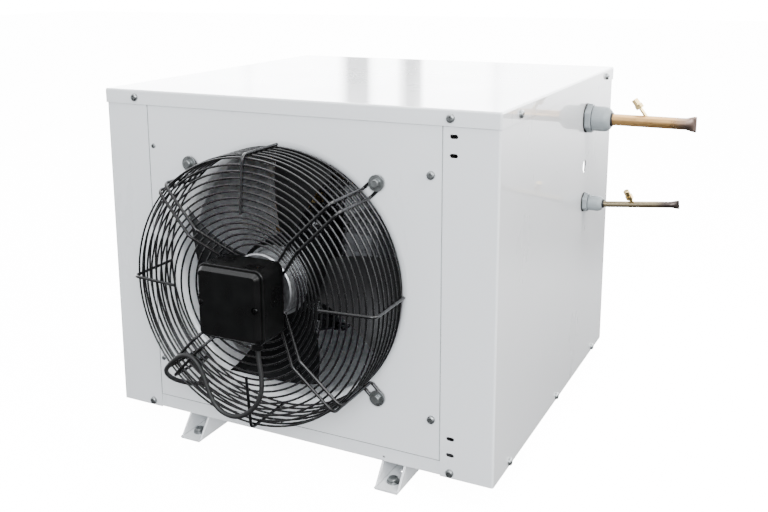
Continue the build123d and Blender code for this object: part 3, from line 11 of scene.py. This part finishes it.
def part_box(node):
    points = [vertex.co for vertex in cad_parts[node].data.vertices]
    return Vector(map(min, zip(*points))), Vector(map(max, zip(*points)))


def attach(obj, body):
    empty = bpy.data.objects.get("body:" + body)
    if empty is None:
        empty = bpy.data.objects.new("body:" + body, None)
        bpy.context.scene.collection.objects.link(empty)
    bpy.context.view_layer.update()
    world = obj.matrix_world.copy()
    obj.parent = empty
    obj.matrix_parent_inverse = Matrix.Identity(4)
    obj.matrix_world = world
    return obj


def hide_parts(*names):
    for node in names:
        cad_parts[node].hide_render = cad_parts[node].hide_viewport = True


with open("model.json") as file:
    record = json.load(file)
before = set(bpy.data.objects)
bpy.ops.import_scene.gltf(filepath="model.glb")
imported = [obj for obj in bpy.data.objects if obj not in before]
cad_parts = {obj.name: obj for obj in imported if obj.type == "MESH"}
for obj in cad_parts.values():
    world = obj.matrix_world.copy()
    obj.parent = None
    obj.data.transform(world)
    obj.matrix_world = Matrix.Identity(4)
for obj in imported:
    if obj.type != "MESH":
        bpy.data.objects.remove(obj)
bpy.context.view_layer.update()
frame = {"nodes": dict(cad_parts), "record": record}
nodes = frame["nodes"]
MM = 0.001


# ---------------------------------------------------------------- material helpers
class Graph:
    """Node tree of one material, with its Principled shader at hand."""

    def __init__(self, name):
        self.material = bpy.data.materials.new(name)
        self.material.use_nodes = True
        self.tree = self.material.node_tree
        self.shader = self.tree.nodes["Principled BSDF"]
        self.place = self.node("ShaderNodeTexCoord").outputs["Object"]

    def node(self, kind, **settings):
        made = self.tree.nodes.new(kind)
        for key, value in settings.items():
            setattr(made, key, value)
        return made

    def link(self, output, target):
        self.tree.links.new(output, target)

    def stretched(self, scale):
        """Object position scaled per axis."""
        mapping = self.node("ShaderNodeMapping")
        mapping.inputs["Scale"].default_value = scale
        self.link(self.place, mapping.inputs["Vector"])
        return mapping.outputs["Vector"]

    def noise(self, scale, detail=4.0, rough=0.5, vector=None):
        noise = self.node("ShaderNodeTexNoise")
        noise.inputs["Scale"].default_value = scale
        noise.inputs["Detail"].default_value = detail
        noise.inputs["Roughness"].default_value = rough
        self.link(vector or self.place, noise.inputs["Vector"])
        return noise.outputs["Fac"]

    def ranged(self, value, low, high, out_low, out_high):
        """Value mapped from one range to another, clamped."""
        ranged = self.node("ShaderNodeMapRange")
        for key, number in (("From Min", low), ("From Max", high), ("To Min", out_low), ("To Max", out_high)):
            ranged.inputs[key].default_value = number
        self.link(value, ranged.inputs["Value"])
        return ranged.outputs["Result"]

    def ramp(self, value, stops):
        """Colours along a value; stops are (place, colour)."""
        ramp = self.node("ShaderNodeValToRGB")
        while len(ramp.color_ramp.elements) < len(stops):
            ramp.color_ramp.elements.new(0.5)
        for element, (place, color) in zip(ramp.color_ramp.elements, stops):
            element.position = place
            element.color = (*color, 1.0)
        self.link(value, ramp.inputs["Fac"])
        return ramp.outputs["Color"]

    def mix(self, share, first, second):
        """Mix of two colours; each is a colour or a socket."""
        mix = self.node("ShaderNodeMix", data_type="RGBA")
        for key, value in (("A", first), ("B", second)):
            socket = [s for s in mix.inputs if s.name == key and s.type == "RGBA"][0]
            if isinstance(value, tuple):
                socket.default_value = (*value, 1.0)
            else:
                self.link(value, socket)
        factor = [s for s in mix.inputs if s.name == "Factor" and s.type == "VALUE"][0]
        self.link(share, factor)
        return [s for s in mix.outputs if s.type == "RGBA"][0]

    def bump(self, height, distance, strength=0.5, onto=None):
        bump = self.node("ShaderNodeBump")
        bump.inputs["Strength"].default_value = strength
        bump.inputs["Distance"].default_value = distance
        self.link(height, bump.inputs["Height"])
        if onto:
            self.link(onto, bump.inputs["Normal"])
        return bump.outputs["Normal"]

    def finish(self, color=None, rough=None, normal=None, **constants):
        """Connect what varies and set what is the same all over on the shader itself."""
        if color is not None:
            self.link(color, self.shader.inputs["Base Color"])
        if rough is not None:
            self.link(rough, self.shader.inputs["Roughness"])
        if normal is not None:
            self.link(normal, self.shader.inputs["Normal"])
        for key, value in constants.items():
            self.shader.inputs[key.replace("_", " ")].default_value = value
        return self.material


def shade(color, factor):
    """Colour made darker or lighter."""
    return tuple(min(1.0, channel * factor) for channel in color)


def coated_sheet(name, color, gloss=0.28):
    """Powder coat on sheet steel: fine orange peel, faint clouding, handling smears, painted shade in the
    joints and crevices.
    """
    g = Graph(name)
    cloud = g.ranged(g.noise(3.5, 3), 0.35, 0.65, 0.0, 1.0)
    base = g.mix(cloud, shade(color, 0.965), color)
    speck = g.ranged(g.noise(420, 2), 0.66, 0.74, 0.0, 0.22)
    base = g.mix(speck, base, shade(color, 0.72))
    # Painted shade: ambient occlusion darkens the colour in joints, gaps and crevices, where shade falls.
    painted_crevice_shade = g.node("ShaderNodeAmbientOcclusion", samples=6)
    painted_crevice_shade.inputs["Distance"].default_value = 5.0 * MM
    base = g.mix(g.ranged(painted_crevice_shade.outputs["AO"], 0.30, 0.62, 0.92, 0.0), base, shade(color, 0.06))
    smear = g.noise(7, 6, 0.62, g.stretched((1.0, 1.0, 0.35)))
    rough = g.ranged(smear, 0.3, 0.7, gloss - 0.05, gloss + 0.10)
    peel = g.noise(520, 2)
    waves = g.noise(26, 2)
    normal = g.bump(peel, 0.00010, 0.35)
    normal = g.bump(waves, 0.0010, 0.06, normal)
    return g.finish(base, rough, normal, Coat_Weight=1.0, Coat_Roughness=0.035, Specular_IOR_Level=0.3)


def moulded(name, color, rough=0.42, grain=900, depth=0.00008, coat=0.0, sheen=0.35):
    """Moulded plastic: fine spark-eroded grain, slight clouding and scuffs."""
    g = Graph(name)
    cloud = g.ranged(g.noise(18, 4), 0.35, 0.7, 0.0, 1.0)
    base = g.mix(cloud, shade(color, 0.82), shade(color, 1.12))
    scuff = g.ranged(g.noise(60, 8, 0.7, g.stretched((1.0, 3.0, 0.4))), 0.62, 0.78, 0.0, 0.45)
    base = g.mix(scuff, base, shade(color, 1.7))
    vary = g.ranged(g.noise(35, 5), 0.3, 0.7, rough - 0.08, rough + 0.12)
    normal = g.bump(g.noise(grain, 3), depth, 0.5)
    return g.finish(base, vary, normal, Coat_Weight=coat, Coat_Roughness=0.2, Specular_IOR_Level=sheen)


def metal(name, color, rough=0.3, stretch=(1.0, 1.0, 1.0), mottle=0.12, depth=0.00003, metallic=1.0):
    """Bare metal: drawn or turned marks, light tarnish and uneven gloss."""
    g = Graph(name)
    stained = g.ranged(g.noise(22, 5, 0.6), 0.35, 0.7, 0.0, 1.0)
    base = g.mix(stained, shade(color, 1.0 - mottle), shade(color, 1.0 + mottle))
    marks = g.noise(260, 4, 0.6, g.stretched(stretch))
    vary = g.ranged(marks, 0.3, 0.7, rough - 0.07, rough + 0.13)
    normal = g.bump(marks, depth, 0.5)
    return g.finish(base, vary, normal, Metallic=metallic)


def coated_wire(name, color):
    """Plastic-coated wire: glossy black with faint ripples and dust."""
    g = Graph(name)
    dusty = g.ranged(g.noise(90, 6, 0.65), 0.58, 0.8, 0.0, 0.35)
    base = g.mix(dusty, color, shade(color, 3.2))
    rough = g.ranged(g.noise(55, 4), 0.3, 0.7, 0.20, 0.36)
    normal = g.bump(g.noise(300, 2), 0.00006, 0.4)
    return g.finish(base, rough, normal, Coat_Weight=0.12, Coat_Roughness=0.12, Specular_IOR_Level=0.35)


def copper_pipe(name, fresh, aged, dark, heat_from, heat_to):
    """Copper tube: drawn streaks along X, heat tint and soot towards the sealed end."""
    g = Graph(name)
    streaks = g.noise(120, 5, 0.6, g.stretched((0.06, 1.0, 1.0)))
    base = g.mix(g.ranged(streaks, 0.35, 0.65, 0.0, 1.0), shade(fresh, 0.82), shade(fresh, 1.12))
    blotch = g.ranged(g.noise(38, 6, 0.65), 0.48, 0.68, 0.0, 0.8)
    base = g.mix(blotch, base, aged)
    split = g.node("ShaderNodeSeparateXYZ")
    g.link(g.place, split.inputs["Vector"])
    wander = g.node("ShaderNodeMath", operation="MULTIPLY_ADD")
    g.link(g.noise(45, 4), wander.inputs[0])
    wander.inputs[1].default_value = 0.02
    g.link(split.outputs["X"], wander.inputs[2])
    soot = g.ranged(wander.outputs[0], heat_from, heat_to, 0.0, 0.9)
    base = g.mix(soot, base, dark)
    rough = g.ranged(g.noise(60, 5), 0.3, 0.7, 0.24, 0.44)
    normal = g.bump(streaks, 0.00004, 0.5)
    return g.finish(base, rough, normal, Metallic=0.9)


def plated_zinc(name, color):
    """Zinc plating: small crystals, turned marks and dull patches."""
    g = Graph(name)
    crystal = g.node("ShaderNodeTexVoronoi")
    crystal.inputs["Scale"].default_value = 700
    g.link(g.place, crystal.inputs["Vector"])
    share = g.ranged(crystal.outputs["Distance"], 0.1, 0.9, 0.0, 0.6)
    base = g.mix(share, shade(color, 1.12), shade(color, 0.75))
    dull = g.ranged(g.noise(150, 5), 0.35, 0.7, 0.24, 0.5)
    normal = g.bump(g.noise(800, 2), 0.00003, 0.4)
    return g.finish(base, dull, normal, Metallic=0.95)


def spangled(name, color):
    """Galvanised sheet with large soft spangles."""
    g = Graph(name)
    crystal = g.node("ShaderNodeTexVoronoi")
    crystal.inputs["Scale"].default_value = 95
    g.link(g.place, crystal.inputs["Vector"])
    share = g.ranged(crystal.outputs["Distance"], 0.0, 0.9, 0.0, 1.0)
    base = g.mix(share, shade(color, 0.82), shade(color, 1.1))
    rough = g.ranged(g.noise(40, 4), 0.3, 0.7, 0.32, 0.52)
    return g.finish(base, rough, g.bump(g.noise(300, 2), 0.00003, 0.3), Metallic=0.9)


def fin_stock(name, color, pitch):
    """Aluminium fins seen edge on: fine stripes across X, their dark half painted shade of the gaps between
    fins, with slight unevenness and dust.
    """
    g = Graph(name)
    split = g.node("ShaderNodeSeparateXYZ")
    g.link(g.place, split.inputs["Vector"])
    wave = g.node("ShaderNodeMath", operation="SINE")
    turns = g.node("ShaderNodeMath", operation="MULTIPLY")
    g.link(split.outputs["X"], turns.inputs[0])
    turns.inputs[1].default_value = 2 * pi / pitch
    g.link(turns.outputs[0], wave.inputs[0])
    fin_ridges_and_gap_shade = g.ranged(wave.outputs[0], -1.0, 1.0, 0.0, 1.0)
    # Painted shade: the dark half of each stripe stands for the shaded gap between two fins.
    base = g.mix(fin_ridges_and_gap_shade, shade(color, 0.35), color)
    dust = g.ranged(g.noise(30, 5), 0.45, 0.75, 0.0, 0.35)
    base = g.mix(dust, base, (0.30, 0.29, 0.27))
    rough = g.ranged(g.noise(50, 4), 0.3, 0.7, 0.3, 0.5)
    return g.finish(base, rough, g.bump(fin_ridges_and_gap_shade, 0.0004, 0.6), Metallic=0.8)


def clear_glass(name):
    """Sight glass with a faint green tint and a film of dust."""
    g = Graph(name)
    base = g.mix(g.ranged(g.noise(80, 3), 0.4, 0.7, 0.0, 1.0), (0.80, 0.92, 0.86), (0.62, 0.78, 0.72))
    rough = g.ranged(g.noise(120, 4), 0.4, 0.7, 0.03, 0.12)
    return g.finish(base, rough, g.bump(g.noise(40, 2), 0.00005, 0.2), Transmission_Weight=0.85, IOR=1.5)


def rubbery(name, color, rough=0.6):
    """Rubber or cable jacket: matt, slightly pitted, with grey scuffs."""
    g = Graph(name)
    scuff = g.ranged(g.noise(110, 7, 0.7), 0.6, 0.78, 0.0, 0.4)
    base = g.mix(scuff, color, shade(color, 3.0))
    vary = g.ranged(g.noise(60, 4), 0.3, 0.7, rough - 0.1, rough + 0.12)
    return g.finish(base, vary, g.bump(g.noise(600, 3), 0.00006, 0.5))


# ---------------------------------------------------------------- finishes by material slot
finishes = {
    "painted_housing": coated_sheet("housing_white", (0.80, 0.81, 0.82)),
    "zinc_screw": plated_zinc("zinc", (0.24, 0.25, 0.25)),
    "guard_wire": coated_wire("guard_black", (0.0018, 0.0018, 0.002)),
    "fin_aluminium": fin_stock("fin_stock", (0.78, 0.79, 0.80), 0.00125),
    "galvanised_sheet": spangled("galvanised", (0.58, 0.60, 0.61)),
    "copper_tube": copper_pipe("copper", (0.42, 0.245, 0.095), (0.30, 0.195, 0.09), (0.16, 0.12, 0.11),
                               0.440, 0.468),
    "aged_copper": copper_pipe("aged_copper", (0.19, 0.155, 0.095), (0.14, 0.115, 0.07), (0.05, 0.04, 0.04),
                               0.425, 0.442),
    "black_enamel": moulded("black_enamel", (0.016, 0.016, 0.018), 0.22, 500, 0.00005, 0.5),
    "black_rubber": rubbery("black_rubber", (0.002, 0.002, 0.0022)),
    "brass": metal("brass", (0.66, 0.49, 0.22), 0.27),
    "drier_paint": coated_sheet("drier_enamel", (0.05, 0.10, 0.24), 0.3),
    "sight_glass": clear_glass("sight_glass"),
    "gland_plastic": moulded("gland_grey", (0.24, 0.265, 0.275), 0.42, 700),
    "motor_casting": metal("motor_casting", (0.48, 0.49, 0.50), 0.38, (1.0, 1.0, 1.0), 0.1, 0.00002),
    "bearing_steel": metal("bearing_steel", (0.56, 0.56, 0.57), 0.2),
    "impeller_plastic": moulded("impeller_black", (0.003, 0.003, 0.0033), 0.36, 600, sheen=0.15),
    "box_plastic": moulded("box_black", (0.002, 0.002, 0.002), 0.30, 1100, sheen=0.2),
    "contactor_plastic": moulded("contactor_grey", (0.10, 0.10, 0.105), 0.45),
    "capacitor_can": metal("capacitor_can", (0.70, 0.71, 0.72), 0.3, (1.0, 1.0, 0.1)),
    "switch_paint": coated_sheet("switch_grey", (0.30, 0.31, 0.32), 0.35),
}
slot_of = {entry["node"]: entry["material_slot"] for entry in frame["record"]["subparts"]}


def dress(obj, finish):
    """Give an object one material."""
    obj.data.materials.clear()
    obj.data.materials.append(finish)


for name, obj in nodes.items():
    dress(obj, finishes[slot_of[name]])


# ---------------------------------------------------------------- new pieces
def add_piece(name, body, slot, mesh, *replaced):
    """Mesh object that rides on a body and takes the finish of a material slot."""
    obj = bpy.data.objects.new(name, mesh)
    bpy.context.scene.collection.objects.link(obj)
    dress(obj, finishes[slot])
    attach(obj, body)
    if replaced:
        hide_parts(*replaced)
    return obj


def islands(obj):
    """Corner points of each separate solid of a node, as arrays."""
    mesh = bmesh.new()
    mesh.from_mesh(obj.data)
    bmesh.ops.remove_doubles(mesh, verts=mesh.verts, dist=1e-6)
    seen = set()
    found = []
    for start in mesh.verts:
        if start.index in seen:
            continue
        stack, part = [start], []
        seen.add(start.index)
        while stack:
            vert = stack.pop()
            part.append(tuple(vert.co))
            for edge in vert.link_edges:
                other = edge.other_vert(vert)
                if other.index not in seen:
                    seen.add(other.index)
                    stack.append(other)
        found.append(np.array(part))
    mesh.free()
    return found


def add_ring(mesh, centre, radius, wire, around=128, section=12):
    """Round wire ring about the Y axis through centre."""
    rows = []
    for i in range(around):
        turn = 2 * pi * i / around
        row = []
        for j in range(section):
            lean = 2 * pi * j / section
            reach = radius + wire * cos(lean)
            out, up = reach * cos(turn), reach * sin(turn)
            place = (centre[0] + out, centre[1] + wire * sin(lean), centre[2] + up)
            row.append(mesh.verts.new(place))
        rows.append(row)
    for i in range(around):
        row, following = rows[i], rows[(i + 1) % around]
        for j in range(section):
            k = (j + 1) % section
            face = mesh.faces.new((row[j], row[k], following[k], following[j]))
            face.smooth = True


def make_guard_rings():
    """Round wires in the places of the CAD's faceted rings."""
    mesh = bmesh.new()
    for part in islands(nodes["fan_guard_rings"]):
        low, high = part.min(axis=0), part.max(axis=0)
        centre = (low + high) / 2
        reach = np.hypot(part[:, 0] - centre[0], part[:, 2] - centre[2])
        radius = (reach.min() + reach.max()) / 2
        add_ring(mesh, centre, radius, ring_wire / 2)
    bmesh.ops.recalc_face_normals(mesh, faces=mesh.faces)
    data = bpy.data.meshes.new("guard_rings")
    mesh.to_mesh(data)
    mesh.free()
    return add_piece("guard_rings_round", "unit", "guard_wire", data, "fan_guard_rings")


ring_wire = 2.8 * MM
make_guard_rings()


# ---------------------------------------------------------------- fan cable
cable_radius = 3.25 * MM
shaft_low, shaft_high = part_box("motor_shaft")
panel_low, panel_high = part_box("fan_panel")
fan_axis = ((shaft_low + shaft_high) / 2).xz
panel_front = panel_low.y
# The same route as the CAD cable: x and z from the fan axis, y from the fan panel, in millimetres.
cable_route = [
    (24, -102, -44), (24, -102, -72), (27, -103, -88), (30, -104, -106), (30, -106, -127), (18, -107, -149),
    (-8, -107, -167), (-35, -106, -165), (-50, -106, -150), (-58, -106, -128), (-67, -106, -106),
    (-80, -106, -93), (-95, -106, -93), (-111, -104, -103), (-127, -99, -118), (-140, -90, -131),
    (-148, -75, -146), (-151, -56, -161), (-149, -34, -174), (-142, -14, -184), (-142, 8, -184),
]


def make_fan_cable():
    """Smooth round cable along its route."""
    curve = bpy.data.curves.new("fan_cable_round", "CURVE")
    curve.dimensions = "3D"
    curve.bevel_depth = cable_radius
    curve.bevel_resolution = 6
    curve.resolution_u = 12
    curve.use_fill_caps = True
    spline = curve.splines.new("NURBS")
    spline.points.add(len(cable_route) - 1)
    for point, (x, y, z) in zip(spline.points, cable_route):
        point.co = (fan_axis.x + x * MM, panel_front + y * MM, fan_axis.y + z * MM, 1.0)
    spline.order_u = 3
    spline.use_endpoint_u = True
    cable = bpy.data.objects.new("fan_cable_round", curve)
    bpy.context.scene.collection.objects.link(cable)
    dress(cable, finishes["black_rubber"])
    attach(cable, "unit")
    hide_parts("fan_cable")
    x, y, z = cable_route[0]
    return cable


make_fan_cable()


# ---------------------------------------------------------------- studio
floor_glow = 14.0
backdrop_glow = 18.0
even_light = 0.78
wall_strength = 15.0
# Brightness of the reflected walls: by height (0 straight down, 0.5 level, 1 straight up), by how
# far behind the unit, and by the turn to the left of straight behind (0 to 1 is a quarter turn).
wall_levels = [
    (0.0, 0.02), (0.30, 0.04), (0.345, 0.10), (0.365, 0.03), (0.385, 0.04), (0.41, 0.16), (0.435, 0.45),
    (0.475, 0.80), (0.52, 1.0), (0.75, 1.0), (0.95, 0.2),
]
behind_levels = [(0.0, 0.07), (0.45, 0.05), (0.62, 0.45), (0.75, 1.0)]
ceiling_levels = [(0.0, 0.0), (0.5, 0.02), (0.8, 0.10), (1.0, 0.25)]
window_posts = [
    (0.0, 0.75), (0.205, 0.80), (0.211, 0.62), (0.217, 0.95), (0.258, 0.95), (0.262, 0.05), (0.272, 0.05),
    (0.276, 0.95), (0.292, 0.95), (0.296, 0.06), (0.310, 0.06), (0.315, 1.0), (0.37, 1.0), (0.375, 0.8),
    (0.382, 1.0),
]


def make_floor():
    """Large plain pale floor, lit like a paper sweep; it throws no light back at the unit."""
    mesh = bpy.data.meshes.new("floor")
    half = 12.0
    corners = [(-half, -half, 0), (half, -half, 0), (half, half, 0), (-half, half, 0)]
    mesh.from_pydata(corners, [], [(0, 1, 2, 3)])
    floor = bpy.data.objects.new("floor", mesh)
    bpy.context.scene.collection.objects.link(floor)
    g = Graph("floor_paper")
    base = g.mix(g.noise(0.8, 2), (0.90, 0.90, 0.90), (0.93, 0.93, 0.93))
    mesh.materials.append(g.finish(base, Roughness=0.9, Specular_IOR_Level=0.1,
                                   Emission_Color=(1.0, 1.0, 1.0, 1.0), Emission_Strength=floor_glow))
    floor.visible_diffuse = False
    floor.visible_glossy = False


def add_softbox(name, place, aim, size, power, color=(1, 1, 1)):
    """Rectangular soft light that looks at a point."""
    light = bpy.data.lights.new(name, "AREA")
    light.shape = "RECTANGLE"
    light.size, light.size_y = size
    light.energy = power
    light.color = color
    obj = bpy.data.objects.new(name, light)
    obj.location = place
    obj.rotation_euler = (Vector(aim) - Vector(place)).to_track_quat("-Z", "Y").to_euler()
    obj.visible_camera = False
    bpy.context.scene.collection.objects.link(obj)


def make_world():
    """Studio walls: plain white to the eye, even light on matt faces, and a window wall with
    four posts behind the unit for what its gloss reflects."""
    world = bpy.data.worlds.new("studio")
    bpy.context.scene.world = world
    world.use_nodes = True
    tree = world.node_tree

    def math(operation, first, second=0.0):
        made = tree.nodes.new("ShaderNodeMath")
        made.operation = operation
        for socket, value in zip(made.inputs, (first, second)):
            if isinstance(value, float):
                socket.default_value = value
            else:
                tree.links.new(value, socket)
        return made.outputs[0]

    def ramp(value, stops):
        made = tree.nodes.new("ShaderNodeValToRGB")
        while len(made.color_ramp.elements) < len(stops):
            made.color_ramp.elements.new(0.5)
        for element, (place, level) in zip(made.color_ramp.elements, stops):
            element.position = place
            element.color = (level, level, level, 1.0)
        tree.links.new(value, made.inputs["Fac"])
        return made.outputs["Color"]

    where = tree.nodes.new("ShaderNodeSeparateXYZ")
    tree.links.new(tree.nodes.new("ShaderNodeTexCoord").outputs["Generated"], where.inputs["Vector"])
    x, y, z = where.outputs
    height = math("MULTIPLY_ADD", z, 0.5)
    tree.nodes[-1].inputs[2].default_value = 0.5
    behind = math("MULTIPLY_ADD", y, 0.5)
    tree.nodes[-1].inputs[2].default_value = 0.5
    turn = math("DIVIDE", math("ARCTAN2", x, y), -pi / 2)
    posts = ramp(turn, window_posts)
    wall = math("MULTIPLY", ramp(height, wall_levels), math("MULTIPLY", posts, ramp(behind, behind_levels)))
    ceiling = ramp(height, ceiling_levels)
    gloss = math("MULTIPLY", math("ADD", wall, ceiling), wall_strength)
    rays = tree.nodes.new("ShaderNodeLightPath").outputs
    unseen = math("SUBTRACT", 1.0, rays["Is Camera Ray"])
    shown = math("MULTIPLY", rays["Is Camera Ray"], backdrop_glow)
    mirrored = math("MULTIPLY", rays["Is Glossy Ray"], gloss)
    matt = math("MULTIPLY", math("SUBTRACT", unseen, rays["Is Glossy Ray"]), even_light)
    back = tree.nodes["Background"]
    back.inputs["Color"].default_value = (0.96, 0.975, 1.0, 1.0)
    tree.links.new(math("ADD", shown, math("ADD", mirrored, matt)), back.inputs["Strength"])


def make_studio():
    """World and softboxes."""
    make_world()
    middle = (0, 0, 0.27)
    add_softbox("key_front", (1.2, -2.6, 1.6), middle, (1.6, 1.4), 130, (0.91, 0.955, 1.0))
    add_softbox("top", (0.0, 0.2, 2.8), middle, (2.2, 2.2), 75)
    add_softbox("right_side", (2.2, -0.5, 1.9), (0.3, -0.2, 0.45), (1.2, 1.2), 78, (1.0, 0.98, 0.955))


def make_camera():
    """Camera at the angle from which the unit is shown: yaw, pitch and roll in degrees, place in metres."""
    yaw, pitch, roll = radians(-27.757), radians(-11.840), radians(-0.551)
    forward = Vector((sin(yaw) * cos(pitch), cos(yaw) * cos(pitch), sin(pitch)))
    right = Vector((cos(yaw), -sin(yaw), 0))
    up = right.cross(forward)
    tilted_right = right * cos(roll) + up * sin(roll)
    tilted_up = up * cos(roll) - right * sin(roll)
    data = bpy.data.cameras.new("camera")
    data.sensor_width = 36.0
    data.lens = 44.80
    data.shift_x = 0.0443
    data.shift_y = -0.1120
    data.clip_end = 60
    camera = bpy.data.objects.new("camera", data)
    turn = Matrix((tilted_right, tilted_up, -forward)).transposed().to_4x4()
    camera.matrix_world = Matrix.Translation((0.6687, -1.3718, 0.6894)) @ turn
    bpy.context.scene.collection.objects.link(camera)
    bpy.context.scene.camera = camera


make_floor()
make_studio()
make_camera()
